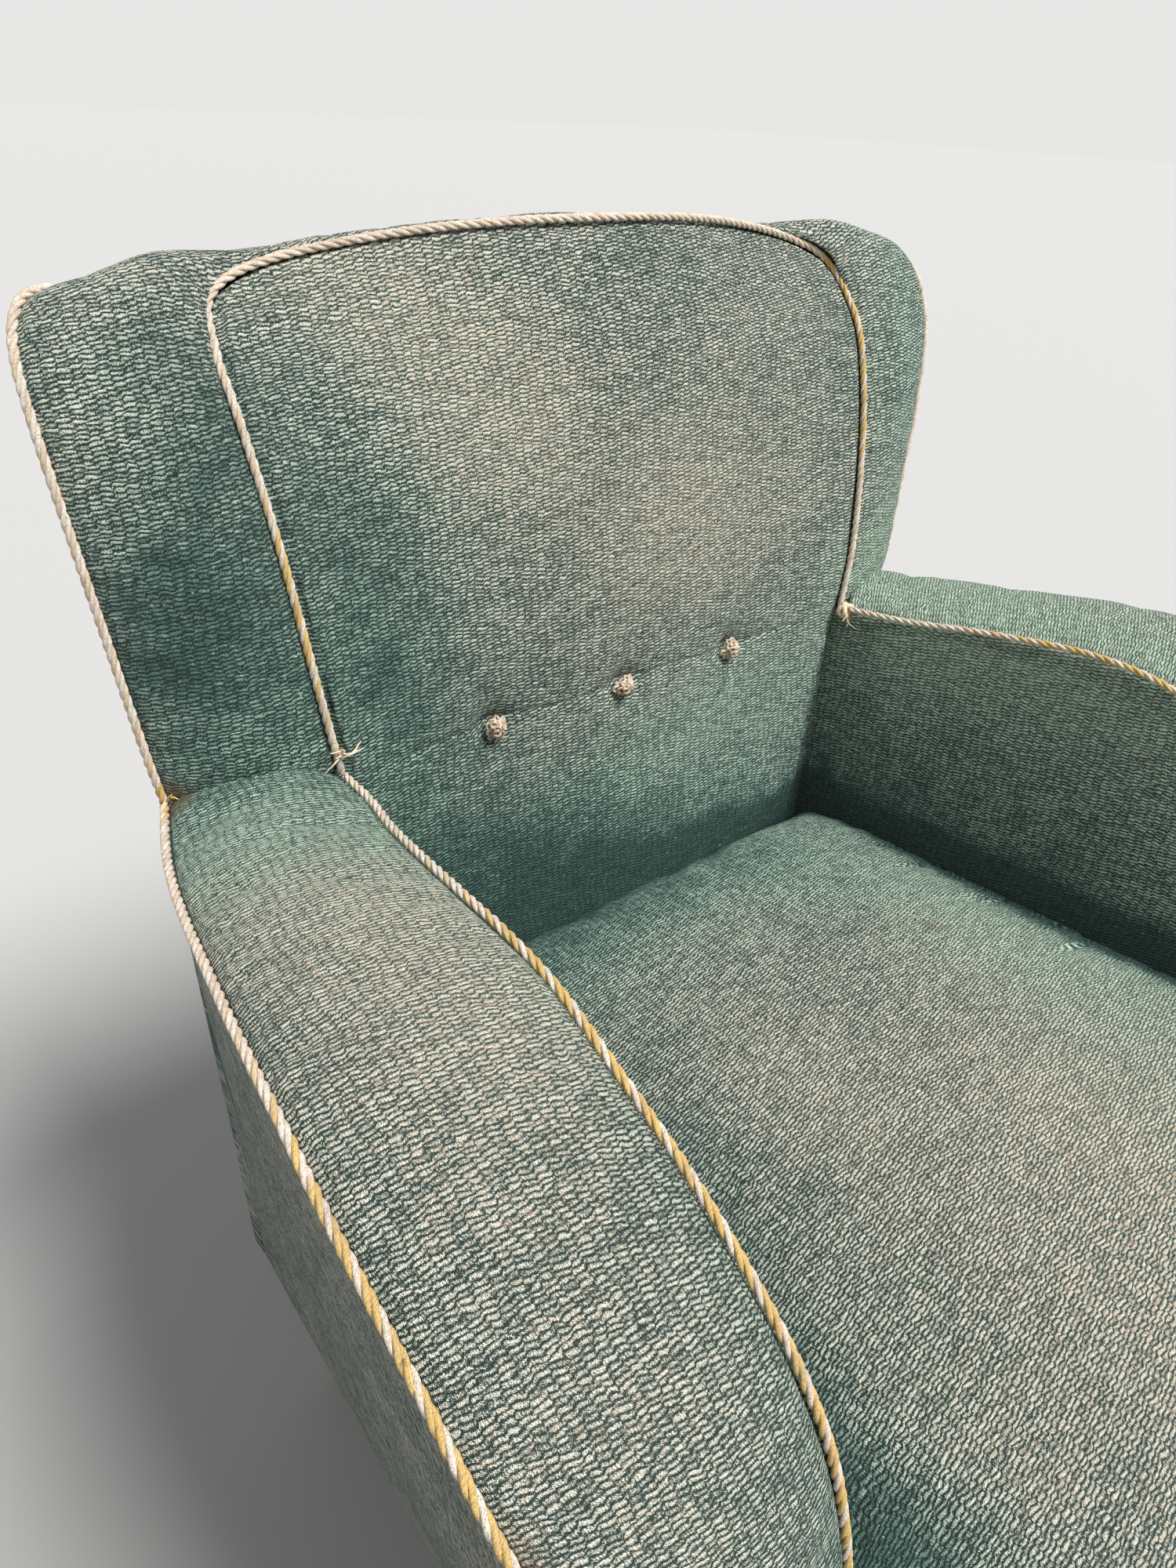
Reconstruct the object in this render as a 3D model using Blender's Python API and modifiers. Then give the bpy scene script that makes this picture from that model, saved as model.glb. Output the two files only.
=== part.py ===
"""Old upholstered armchair: beech frame, webbing, coil springs, stuffing, woollen covers and twisted cord in the seams.

Metres, +Z up, the sitter faces -Y, and the origin is on the floor under the middle of the chair.
The right half is described, and the left half is its mirror. Every cover is a sheet stretched between seam lines,
and the padding and boards under it are sheets offset inwards from the same surface, so nothing meets by accident.
"""

import math

import bmesh
import bpy
from mathutils import Vector

# ---------------------------------------------------------------- driving dimensions
CLOTH = 0.0020  # thickness of the woollen cover
CORD_RADIUS = 0.0029  # twisted cord sewn into the seams
GAP = 0.0004  # clearance between pieces that touch
SEAM = CORD_RADIUS + 0.0009  # a cover stops this far from a cord's middle
UNDER = CLOTH + GAP  # first layer below a cover

FLOOR_TO_COVER = 0.172  # lower edge of the covers
RAIL_FOOT = 0.1745  # underside of the seat rails
RAIL_HEIGHT = 0.074
RAIL_TOP = RAIL_FOOT + RAIL_HEIGHT
RAIL_THICK = 0.026
POST = 0.030  # section of the upright posts
PAD = 0.014  # padding on arms and back border
BACK_PAD = 0.014  # stuffing at the edges of the inside back; it is thicker in the middle
BOARD = 0.018  # arm boards

# Seam lines of the right half: back centre at X = 0, arms end at their foot.
BACK_INNER = (
    (0.2290, 0.2070, 0.5600), (0.2378, 0.2108, 0.6144), (0.2466, 0.2246, 0.6934), (0.2527, 0.2438, 0.7552),
    (0.2525, 0.2640, 0.7870), (0.2424, 0.2830, 0.8107), (0.2052, 0.2890, 0.8246), (0.1366, 0.2780, 0.8362),
    (0.0700, 0.2650, 0.8420), (0.0000, 0.2600, 0.8435),
)
BACK_INNER_CORNER = 5  # where the side of the inside back turns into its top
BACK_OUTER = (
    (0.3215, 0.2400, 0.5570), (0.3279, 0.2391, 0.5912), (0.3376, 0.2434, 0.6643), (0.3425, 0.2460, 0.7019),
    (0.3482, 0.2540, 0.7554), (0.3479, 0.2667, 0.7883), (0.3407, 0.2802, 0.8065), (0.3255, 0.2930, 0.8145),
    (0.2900, 0.3060, 0.8110), (0.2000, 0.3200, 0.8040), (0.1000, 0.3270, 0.8010), (0.0000, 0.3290, 0.8000),
)
BACK_OUTER_CORNER = 7
ARM_INNER = (
    (0.2290, 0.2050, 0.5600), (0.2342, 0.1674, 0.5631), (0.2418, 0.1361, 0.5659), (0.2492, 0.0999, 0.5715),
    (0.2574, 0.0468, 0.5783), (0.2615, 0.0109, 0.5812), (0.2650, -0.0300, 0.5790), (0.2685, -0.0700, 0.5680),
    (0.2700, -0.1200, 0.5470), (0.2704, -0.1620, 0.5200), (0.2690, -0.1860, 0.4960), (0.2655, -0.2030, 0.4650),
    (0.2616, -0.2142, 0.4256), (0.2590, -0.2230, 0.3800), (0.2560, -0.2400, 0.3000), (0.2535, -0.2620, 0.2200),
    (0.2515, -0.2780, FLOOR_TO_COVER),
)
ARM_OUTER = (
    (0.3215, 0.2400, 0.5570), (0.3375, 0.2023, 0.5566), (0.3507, 0.1644, 0.5607), (0.3614, 0.1242, 0.5649),
    (0.3722, 0.0773, 0.5716), (0.3809, 0.0361, 0.5758), (0.3874, 0.0007, 0.5775), (0.3918, -0.0293, 0.5750),
    (0.3963, -0.0687, 0.5650), (0.3985, -0.1174, 0.5456), (0.3980, -0.1600, 0.5180), (0.3945, -0.1860, 0.4920),
    (0.3890, -0.2030, 0.4590), (0.3830, -0.2140, 0.4180), (0.3760, -0.2240, 0.3650), (0.3660, -0.2400, 0.2920),
    (0.3570, -0.2620, 0.2200), (0.3500, -0.2780, FLOOR_TO_COVER),
)
ARM_SHOULDER_INNER = 10  # where the arm's top turns down its front
ARM_SHOULDER_OUTER = 11
REAR_FOOT = (0.3020, 0.2450, FLOOR_TO_COVER)  # lower corner between outside arm and outside back
REAR_FOOT_MIDDLE = (0.0000, 0.2680, FLOOR_TO_COVER)
INSIDE_ARM_FOOT = (0.2150, 0.2200, 0.3000)  # the inside arm cover ends on its tack rail
INSIDE_ARM_HEAD = (0.2290, 0.2160, 0.5540)  # and is tucked behind the edge of the inside back
BACK_FOOT = (0.2050, 0.2070, 0.3600)  # the inside back cover ends below the seat
BACK_FOOT_MIDDLE = (0.0000, 0.2000, 0.3600)

BACK_HOLLOW = -0.024  # the inside back is this much behind a flat blend of its edges

# Seat section from the back crease over the nose and down to the front rail: (Y, Z, crown across the seat).
SEAT_PROFILE = (
    (0.1960, 0.3640, 0.006), (0.1920, 0.3830, 0.012), (0.1450, 0.3900, 0.020), (0.0600, 0.3900, 0.026),
    (-0.0400, 0.3890, 0.029), (-0.1400, 0.3890, 0.028), (-0.2300, 0.3880, 0.022), (-0.2850, 0.3830, 0.016),
    (-0.3200, 0.3680, 0.010), (-0.3330, 0.3440, 0.006), (-0.3270, 0.3080, 0.004), (-0.3020, 0.2400, 0.002),
    (-0.2735, FLOOR_TO_COVER, 0.000),
)
SEAT_HALF_BACK = 0.2185  # inside of the arms at seat height, measured at SEAT_BACK_Y
SEAT_BACK_Y = 0.2050
SEAT_SPLAY = 0.0935  # the arms stand further apart towards the front
SEAT_CORNER = 0.060  # the front corners are rounded back to the arms
SEAT_EDGE_DROP = 0.012
STUFFING_FLOOR = 0.3400  # underside of the seat stuffing

SPRING_X = (-0.135, 0.0, 0.135)
SPRING_Y = (-0.165, -0.025, 0.115)
SPRING_WIRE = 0.0019
WEB_WIDTH = 0.050
TOP_RAIL = [(-0.2465, 0.2698, 0.6980), (0.0, 0.2920, 0.6980), (0.2465, 0.2698, 0.6980)]
LOWER_RAIL = [(-0.2465, 0.2459, 0.4200), (0.0, 0.2534, 0.4200), (0.2465, 0.2459, 0.4200)]
LEG_TOP_RADIUS = 0.0235
LEG_FOOT_RADIUS = 0.0145
BUTTON_POINTS = ((-0.1105, 0.551), (0.0, 0.551), (0.1105, 0.551))  # X, Z

MATERIALS = {
    "wool": ((0.16, 0.27, 0.24), 0.95),
    "cord": ((0.72, 0.62, 0.42), 0.85),
    "beech": ((0.55, 0.36, 0.20), 0.55),
    "stained_beech": ((0.16, 0.07, 0.035), 0.40),
    "spring_steel": ((0.33, 0.31, 0.29), 0.45),
    "jute": ((0.52, 0.40, 0.24), 0.90),
    "hessian": ((0.58, 0.46, 0.30), 0.95),
    "horsehair": ((0.10, 0.075, 0.055), 0.90),
    "dust_cloth": ((0.045, 0.045, 0.045), 0.95),
}


# ---------------------------------------------------------------- curves and surfaces
def mirrored(points):
    """The same points on the other side of the chair."""
    return [Vector((-p[0], p[1], p[2])) for p in points]


class Path:
    """A smooth line through points, read by the share of its length from 0 to 1; outside that it runs on straight."""

    STEPS = 12

    def __init__(self, points):
        pts = [Vector(p) for p in points]
        ends = [2 * pts[0] - pts[1], *pts, 2 * pts[-1] - pts[-2]]
        self.dense = [pts[0]]
        for a, b, c, d in zip(ends, ends[1:], ends[2:], ends[3:]):
            for k in range(1, self.STEPS + 1):
                t = k / self.STEPS
                self.dense.append(
                    0.5 * (2 * b + (c - a) * t + (2 * a - 5 * b + 4 * c - d) * t**2 + (3 * b - a - 3 * c + d) * t**3)
                )
        self.marks = [0.0]
        for a, b in zip(self.dense, self.dense[1:]):
            self.marks.append(self.marks[-1] + (b - a).length)
        self.length = self.marks[-1]

    def __call__(self, share):
        want = share * self.length
        if want <= 0:
            return self.dense[0] + (self.dense[0] - self.dense[1]).normalized() * -want
        if want >= self.length:
            return self.dense[-1] + (self.dense[-1] - self.dense[-2]).normalized() * (want - self.length)
        k = next(i for i, m in enumerate(self.marks) if m >= want)
        low, high = self.marks[k - 1], self.marks[k]
        return self.dense[k - 1].lerp(self.dense[k], (want - low) / (high - low))


    def shares(self, start, end, longest, turn):
        """Shares of the length that follow the bends: no step longer than longest, none turning more than turn."""
        found = [start]
        last = None
        for mark, a, b in zip(self.marks, self.dense, self.dense[1:]):
            share = mark / self.length
            ahead = (b - a).normalized()
            last = last or ahead
            far_enough = (share - found[-1]) * self.length > 0.004
            if found[-1] < share < end and far_enough:
                step = (share - found[-1]) * self.length
                if step > longest - 0.004 or last.angle(ahead) > turn:
                    found.append(share)
                    last = ahead
        if (end - found[-1]) * self.length < 0.006:
            found.pop()
        return [*found, end]


def spaced(start, end, count):
    return [start + (end - start) * k / (count - 1) for k in range(count)]


def inset(points, distance, facing):
    """Seam points moved sideways into a panel that looks along facing."""
    moved = []
    for k, p in enumerate(points):
        ahead = Vector(points[min(k + 1, len(points) - 1)]) - Vector(points[max(k - 1, 0)])
        moved.append(Vector(p) + Vector(facing).cross(ahead).normalized() * distance)
    return moved


def strip(first, second, along, across, crown, trim=SEAM):
    """Rows of points between two seam lines, raised by crown(share) between them; trim is kept free at both seams."""
    rows = []
    for s in along:
        a, b = first(s), second(s)
        ahead = first(s + 0.01) - first(s - 0.01) + second(s + 0.01) - second(s - 0.01)
        normal = (b - a).cross(ahead).normalized()
        edge = trim / (b - a).length
        row = []
        for t in across:
            inside = edge + (1 - 2 * edge) * t
            row.append(a.lerp(b, inside) + normal * crown(s) * math.sin(math.pi * inside) ** 0.8)
        rows.append(row)
    return rows


def patch(foot, head, left, right, across, up, crown, trim=SEAM, power=0.8):
    """Rows of points over a four-sided panel whose edges are paths, raised by crown in the middle."""
    corners = (foot(0), foot(1), head(0), head(1))
    wide, tall = (foot(1) - foot(0)).length, (left(1) - left(0)).length
    eu, ev = trim / wide, trim / tall

    def at(u, v):
        flat = foot(u) * (1 - v) + head(u) * v + left(v) * (1 - u) + right(v) * u
        return flat - (
            corners[0] * (1 - u) * (1 - v) + corners[1] * u * (1 - v) + corners[2] * (1 - u) * v + corners[3] * u * v
        )

    rows = []
    for v in up:
        v = ev + (1 - 2 * ev) * v
        row = []
        for u in across:
            u = eu + (1 - 2 * eu) * u
            normal = (at(u + 0.01, v) - at(u - 0.01, v)).cross(at(u, v + 0.01) - at(u, v - 0.01)).normalized()
            row.append(at(u, v) + normal * crown * (math.sin(math.pi * u) * math.sin(math.pi * v)) ** power)
        rows.append(row)
    return rows


def offset(rows, depth):
    """The same rows moved inwards by depth, against the surface's outward side."""
    moved = []
    for i, row in enumerate(rows):
        line = []
        for j, point in enumerate(row):
            down, up = rows[max(i - 1, 0)][j], rows[min(i + 1, len(rows) - 1)][j]
            left, right = row[max(j - 1, 0)], row[min(j + 1, len(row) - 1)]
            line.append(point - (right - left).cross(up - down).normalized() * depth)
        moved.append(line)
    return moved


# ---------------------------------------------------------------- making objects
def fresh_scene():
    for obj in list(bpy.data.objects):
        bpy.data.objects.remove(obj, do_unlink=True)
    chair = bpy.data.collections.new("old_armchair")
    bpy.context.scene.collection.children.link(chair)
    return chair


CHAIR = fresh_scene()


def material(name):
    found = bpy.data.materials.get(name)
    if found:
        return found
    colour, roughness = MATERIALS[name]
    made = bpy.data.materials.new(name)
    made.use_nodes = True
    shader = made.node_tree.nodes["Principled BSDF"]
    shader.inputs["Base Color"].default_value = (*colour, 1.0)
    shader.inputs["Roughness"].default_value = roughness
    shader.inputs["Metallic"].default_value = 1.0 if name == "spring_steel" else 0.0
    return made


def add(name, data, finish):
    obj = bpy.data.objects.new(name, data)
    CHAIR.objects.link(obj)
    data.materials.append(material(finish))
    return obj


def mesh_object(name, points, faces, finish, smooth=False):
    data = bpy.data.meshes.new(name)
    data.from_pydata([tuple(p) for p in points], [], faces)
    data.update()
    obj = add(name, data, finish)
    if smooth:
        data.shade_smooth()
    return obj


def sheet(name, rows, thickness, finish, keep=None):
    """A panel: an open surface of rows, thickened inwards. keep(i, j) says which cells are there."""
    wide = len(rows[0])
    faces = [
        (i * wide + j, i * wide + j + 1, (i + 1) * wide + j + 1, (i + 1) * wide + j)
        for i in range(len(rows) - 1)
        for j in range(wide - 1)
        if keep is None or keep(i, j)
    ]
    obj = mesh_object(name, [p for row in rows for p in row], faces, finish, smooth=True)
    bm = bmesh.new()
    bm.from_mesh(obj.data)
    bmesh.ops.delete(bm, geom=[v for v in bm.verts if not v.link_faces], context="VERTS")
    bm.to_mesh(obj.data)
    bm.free()
    thick = obj.modifiers.new("thickness", "SOLIDIFY")
    thick.thickness = thickness
    thick.offset = -1
    thick.use_even_offset = True
    return obj


def filled(name, outer, inner, finish):
    """A closed solid between two sets of rows of the same size."""
    wide, tall = len(outer[0]), len(outer)
    size = wide * tall
    faces = []
    for i in range(tall - 1):
        for j in range(wide - 1):
            a, b, c, d = i * wide + j, i * wide + j + 1, (i + 1) * wide + j + 1, (i + 1) * wide + j
            faces += [(a, b, c, d), (size + d, size + c, size + b, size + a)]
    rim = (
        [j for j in range(wide)]
        + [i * wide + wide - 1 for i in range(1, tall)]
        + [(tall - 1) * wide + j for j in range(wide - 2, -1, -1)]
        + [i * wide for i in range(tall - 2, 0, -1)]
    )
    for a, b in zip(rim, rim[1:] + rim[:1]):
        faces.append((b, a, size + a, size + b))
    return mesh_object(name, [p for row in outer for p in row] + [p for row in inner for p in row], faces, finish)


def beam(name, path, width, height, finish="beech"):
    """A board along a path: width is measured level, height across it."""
    points = [Vector(p) for p in path]
    verts, faces = [], []
    for k, p in enumerate(points):
        ahead = (points[min(k + 1, len(points) - 1)] - points[max(k - 1, 0)]).normalized()
        level = Vector((1, 0, 0)) if abs(ahead.z) > 0.7 else ahead.cross(Vector((0, 0, 1))).normalized()
        upward = level.cross(ahead).normalized()
        for a, b in ((-1, -1), (1, -1), (1, 1), (-1, 1)):
            verts.append(p + level * a * width / 2 + upward * b * height / 2)
    for k in range(len(points) - 1):
        for j in range(4):
            n = (j + 1) % 4
            faces.append((4 * k + j, 4 * k + n, 4 * k + 4 + n, 4 * k + 4 + j))
    last = 4 * (len(points) - 1)
    faces += [(3, 2, 1, 0), (last, last + 1, last + 2, last + 3)]
    obj = mesh_object(name, verts, faces, finish)
    bm = bmesh.new()
    bm.from_mesh(obj.data)
    bmesh.ops.recalc_face_normals(bm, faces=bm.faces)
    bm.to_mesh(obj.data)
    bm.free()
    return obj


def plate(name, outline, low, high, finish):
    """A flat piece sawn or cut to an outline of (X, Y) points, between two heights."""
    data = bpy.data.curves.new(name, "CURVE")
    data.dimensions = "2D"
    data.fill_mode = "BOTH"
    data.extrude = (high - low) / 2
    spline = data.splines.new("POLY")
    spline.points.add(len(outline) - 1)
    for point, (x, y) in zip(spline.points, outline):
        point.co = (x, y, 0, 1)
    spline.use_cyclic_u = True
    obj = add(name, data, finish)
    obj.location.z = (low + high) / 2
    return obj


def cord(name, points, radius, finish, sides_level=1):
    """A round cord or wire along points."""
    data = bpy.data.curves.new(name, "CURVE")
    data.dimensions = "3D"
    data.bevel_depth = radius
    data.bevel_resolution = sides_level
    data.use_fill_caps = True
    spline = data.splines.new("POLY")
    spline.points.add(len(points) - 1)
    for point, p in zip(spline.points, points):
        point.co = (*p, 1)
    return add(name, data, finish)


# ---------------------------------------------------------------- seat frame
def side_rail_x(y):
    """Middle of a side rail, just inside the lower edge of the outside arm."""
    share = (y - ARM_OUTER[-1][1]) / (REAR_FOOT[1] - ARM_OUTER[-1][1])
    edge = ARM_OUTER[-1][0] + (REAR_FOOT[0] - ARM_OUTER[-1][0]) * share
    return edge - UNDER - RAIL_THICK / 2 - GAP


def seat_frame():
    middle = RAIL_FOOT + RAIL_HEIGHT / 2
    front_y, rear_y = -0.236, 0.231
    inner = RAIL_THICK / 2 + 0.0012
    half_front = side_rail_x(front_y + RAIL_THICK / 2) - inner
    half_rear = side_rail_x(0.2180) - inner
    beam("front_seat_rail", [(-half_front, front_y, middle), (half_front, front_y, middle)], RAIL_THICK, RAIL_HEIGHT)
    rear = Path([(-half_rear, rear_y, middle), (0, rear_y + 0.0195, middle), (half_rear, rear_y, middle)])
    beam("rear_seat_rail", [rear(s) for s in spaced(0, 1, 7)], 0.024, RAIL_HEIGHT)
    for side, sign in (("left", -1), ("right", 1)):
        ends = [(sign * side_rail_x(y), y, middle) for y in (-0.249, 0.2170)]
        beam(f"{side}_seat_rail", ends, RAIL_THICK, RAIL_HEIGHT)
        block = 0.058
        for end, y, way in (("front", front_y + RAIL_THICK / 2 + GAP, 1), ("rear", rear_y - 0.014, -1)):
            corner = side_rail_x(y) - RAIL_THICK / 2 - 0.0010
            far = side_rail_x(y + way * block) - RAIL_THICK / 2 - 0.0010
            outline = [
                (sign * corner, y), (sign * far, y + way * block), (sign * (far - 0.014), y + way * block),
                (sign * (corner - block), y + way * 0.014), (sign * (corner - block), y),
            ]
            plate(f"{end}_{side}_corner_block", outline, RAIL_FOOT, RAIL_TOP - 0.024, "beech")


def uprights():
    """The curved back posts standing on the side rails, and the rails between them."""
    for side, sign in (("left", -1), ("right", 1)):
        back = [(0.2620, 0.2310, RAIL_TOP + GAP), (0.2620, 0.2310, 0.280), (0.2620, 0.2360, 0.360),
                (0.2620, 0.2380, 0.460), (0.2620, 0.2390, 0.560), (0.2620, 0.2470, 0.640), (0.2620, 0.2535, 0.700)]
        beam(f"{side}_back_post", [(sign * x, yy, z) for x, yy, z in back], POST, 0.020)
        tack = [(sign * 0.2740, -0.2010, 0.3150), (sign * 0.2355, 0.2208, 0.3150)]
        beam(f"{side}_arm_tack_rail", tack, 0.032, 0.030)
    beam("back_top_rail", TOP_RAIL, 0.016, 0.040)
    beam("back_lower_rail", LOWER_RAIL, 0.016, 0.040)


def legs():
    """Round tapered legs: the front pair upright, the rear pair raked backwards."""
    for side, sign in (("left", -1), ("right", 1)):
        for end, top, foot in (
            ("front", (0.3060, -0.2340), (0.3140, -0.2500)),
            ("rear", (0.2450, 0.2080), (0.2400, 0.2300)),
        ):
            sections = 6
            verts, faces, around = [], [], 14
            for k in range(sections + 1):
                t = k / sections
                radius = LEG_FOOT_RADIUS + (LEG_TOP_RADIUS - LEG_FOOT_RADIUS) * math.sin(t * math.pi / 2) ** 0.9
                x = foot[0] + (top[0] - foot[0]) * t
                y = foot[1] + (top[1] - foot[1]) * t ** 0.8
                for a in range(around):
                    angle = 2 * math.pi * a / around
                    verts.append((sign * x + radius * math.cos(angle), y + radius * math.sin(angle),
                                  t * (RAIL_FOOT - GAP)))
            for k in range(sections):
                for a in range(around):
                    n = (a + 1) % around
                    faces.append((k * around + a, k * around + n, (k + 1) * around + n, (k + 1) * around + a))
            faces += [tuple(range(around - 1, -1, -1)), tuple(range(sections * around, (sections + 1) * around))]
            mesh_object(f"{end}_{side}_leg", verts, faces, "stained_beech", smooth=True)


# ---------------------------------------------------------------- suspension
def lattice_lines(centres, low, high, width):
    """Grid lines for webbing: both edges of every strip and the two ends, with a test for cells in a strip."""
    lines = [low] + [c + s * width / 2 for c in centres for s in (-1, 1)] + [high]
    return lines, lambda k: any(abs((lines[k] + lines[k + 1]) / 2 - c) < width / 4 for c in centres)


def seat_webbing():
    """Jute strips crossing under the springs, tacked on top of the rails' lower edge as one mat."""
    xs, in_x = lattice_lines(SPRING_X, -0.287, 0.287, WEB_WIDTH)
    ys, in_y = lattice_lines(SPRING_Y, -0.240, 0.225, WEB_WIDTH)
    rows = [[Vector((x, y, RAIL_FOOT - GAP)) for x in xs] for y in ys]
    sheet("seat_webbing", rows, 0.0016, "jute", keep=lambda i, j: in_x(j) or in_y(i))


def springs():
    """Nine waisted coil springs standing on the crossings of the webbing."""
    foot, head = RAIL_FOOT + SPRING_WIRE * 0.9, STUFFING_FLOOR - 0.0023 - SPRING_WIRE
    turns, per_turn = 4, 8
    for j, y in enumerate(SPRING_Y):
        for i, x in enumerate(SPRING_X):
            points = []
            for k in range(turns * per_turn + 1):
                t = k / (turns * per_turn)
                angle = 2 * math.pi * k / per_turn
                radius = 0.026 + 0.016 * (2 * t - 1) ** 2
                points.append((x + radius * math.cos(angle), y + radius * math.sin(angle), foot + (head - foot) * t))
            cord(f"seat_spring_{3 * j + i + 1}", points, SPRING_WIRE, "spring_steel")


def spring_hessian():
    """The hessian that is sewn over the springs."""
    half_back, half_front = 0.196, 0.236
    outline = [(-half_front, -0.240), (half_front, -0.240), (half_back, 0.170), (-half_back, 0.170)]
    plate("spring_hessian", outline, STUFFING_FLOOR - 0.0018, STUFFING_FLOOR - 0.0006, "hessian")


# ---------------------------------------------------------------- seat
def seat_half(y, z):
    """Half width of the seat between the arms; below the seat it follows the arms' fronts inwards."""
    return SEAT_HALF_BACK + (SEAT_BACK_Y - max(y, -0.225)) * SEAT_SPLAY - 0.0026 - max(0.0, 0.375 - z) * 0.052


def seat_rows():
    """The seat's surface: crowned across, rolled down beside the arms, rounded back at the front corners."""
    profile = Path([(crown, y, z) for y, z, crown in SEAT_PROFILE])
    fronts = Path([(0.0, p[1], p[2]) for p in ARM_INNER[9:]])
    front_line = [fronts(s) for s in spaced(0, 1, 60)]
    rows = []
    for s in spaced(0, 1, 19):
        crown, y, z = profile(s)
        nose = max(0.0, min(1.0, (-y - 0.25) / 0.07)) if z > 0.34 else 1.0
        arm_y = min(front_line, key=lambda p: abs(p.z - min(z, 0.40))).y - 0.009
        pull = max(0.0, arm_y - y)
        row = []
        for t in spaced(-1, 1, 15):
            t = math.sin(t * math.pi / 2)
            half = seat_half(y, z)
            drop = SEAT_EDGE_DROP * abs(t) ** 6
            rise = crown * (1 - t * t)
            beyond = max(0.0, (abs(t) * half - half + SEAT_CORNER) / SEAT_CORNER)
            back = pull * (1 - math.sqrt(max(0.0, 1 - beyond * beyond)))
            row.append(Vector((t * half, y - rise * nose + back, z + rise * (1 - nose) - drop * (1 - nose))))
        rows.append(row)
    return [list(reversed(row)) for row in rows]


def seat():
    rows = seat_rows()
    sheet("seat_cover", rows, CLOTH, "wool")
    outer = [row[1:-1] for row in offset(rows, UNDER + GAP)[1:13]]
    inner = [
        [Vector((p.x * 0.985, max(min(p.y, 0.176), -0.262), min(STUFFING_FLOOR, p.z + 0.004))) for p in row]
        for row in outer
    ]
    filled("seat_stuffing", outer, inner, "horsehair")


# ---------------------------------------------------------------- back
def back_side(points, corner, sign, foot):
    side = [foot, *points[: corner + 1]]
    return Path(mirrored(side) if sign < 0 else side)


def back_top(points, corner):
    right = points[corner:]
    return Path([*mirrored(right)[:-1], *[Vector(p) for p in reversed(right)]])


def crossing(foot, middle):
    return Path([Vector((-foot[0], foot[1], foot[2])), middle, foot])


def inside_back_rows(across, up, crown=BACK_HOLLOW, trim=SEAM):
    return patch(
        crossing(BACK_FOOT, BACK_FOOT_MIDDLE), back_top(BACK_INNER, BACK_INNER_CORNER),
        back_side(BACK_INNER, BACK_INNER_CORNER, -1, BACK_FOOT), back_side(BACK_INNER, BACK_INNER_CORNER, 1, BACK_FOOT),
        across, up, crown, trim,
    )


def inner(rows, columns=1, lines=1):
    """The same rows without their outermost columns and lines."""
    return [row[columns:-columns] for row in rows[lines:-lines]]


def border_crown(share):
    """The back's border is fullest at its two upper corners."""
    return 0.008 + 0.007 * max(0.0, math.sin(math.pi * share)) ** 2


def back():
    across, up = (0, 0.03, *spaced(0.12, 0.88, 9), 0.97, 1), (0, 0.03, *spaced(0.12, 0.90, 9), 0.975, 1)
    rows = inside_back_rows(across, up)
    sheet("inside_back_cover", rows, CLOTH, "wool")
    flat = inside_back_rows(across, up, crown=BACK_HOLLOW - 0.012)
    filled("back_stuffing", inner(offset(rows, UNDER)), inner(offset(flat, UNDER + BACK_PAD)), "horsehair")
    deep = UNDER + BACK_PAD + 0.0017
    sheet("back_hessian", inner(offset(flat, deep)), 0.0008, "hessian")
    us, in_u = lattice_lines((0.22, 0.50, 0.78), 0.03, 0.97, 0.11)
    vs, in_v = lattice_lines((0.32, 0.55, 0.78), 0.14, 0.95, 0.10)
    webs = offset(inside_back_rows(us, vs, crown=BACK_HOLLOW - 0.014), deep + 0.0040)
    sheet("back_webbing", webs, 0.0014, "jute", keep=lambda i, j: in_u(j) or in_v(i))

    near = Path([*[Vector(p) for p in BACK_INNER], *reversed(mirrored(BACK_INNER)[:-1])])
    far = Path([*[Vector(p) for p in BACK_OUTER], *reversed(mirrored(BACK_OUTER)[:-1])])
    border = strip(near, far, near.shares(0.0065, 0.9935, 0.05, 0.12), (0, 0.12, 0.37, 0.63, 0.88, 1), border_crown)
    sheet("back_border_cover", border, CLOTH, "wool")
    sheet("back_border_padding", inner(offset(border, UNDER), lines=2), 0.006, "horsehair")

    rear = patch(
        crossing(REAR_FOOT, REAR_FOOT_MIDDLE), back_top(BACK_OUTER, BACK_OUTER_CORNER),
        back_side(BACK_OUTER, BACK_OUTER_CORNER, -1, REAR_FOOT), back_side(BACK_OUTER, BACK_OUTER_CORNER, 1, REAR_FOOT),
        spaced(1, 0, 13), (*spaced(0, 0.86, 9), 0.92, 0.96, 1), -0.036, SEAM + 0.0012, 0.6,
    )
    sheet("outside_back_cover", rear, CLOTH, "wool")


# ---------------------------------------------------------------- arms
def on_side(rows, side):
    """Rows made for the right side, or their mirror for the left."""
    return rows if side == "right" else [[Vector((-p.x, p.y, p.z)) for p in reversed(row)] for row in rows]


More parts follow.
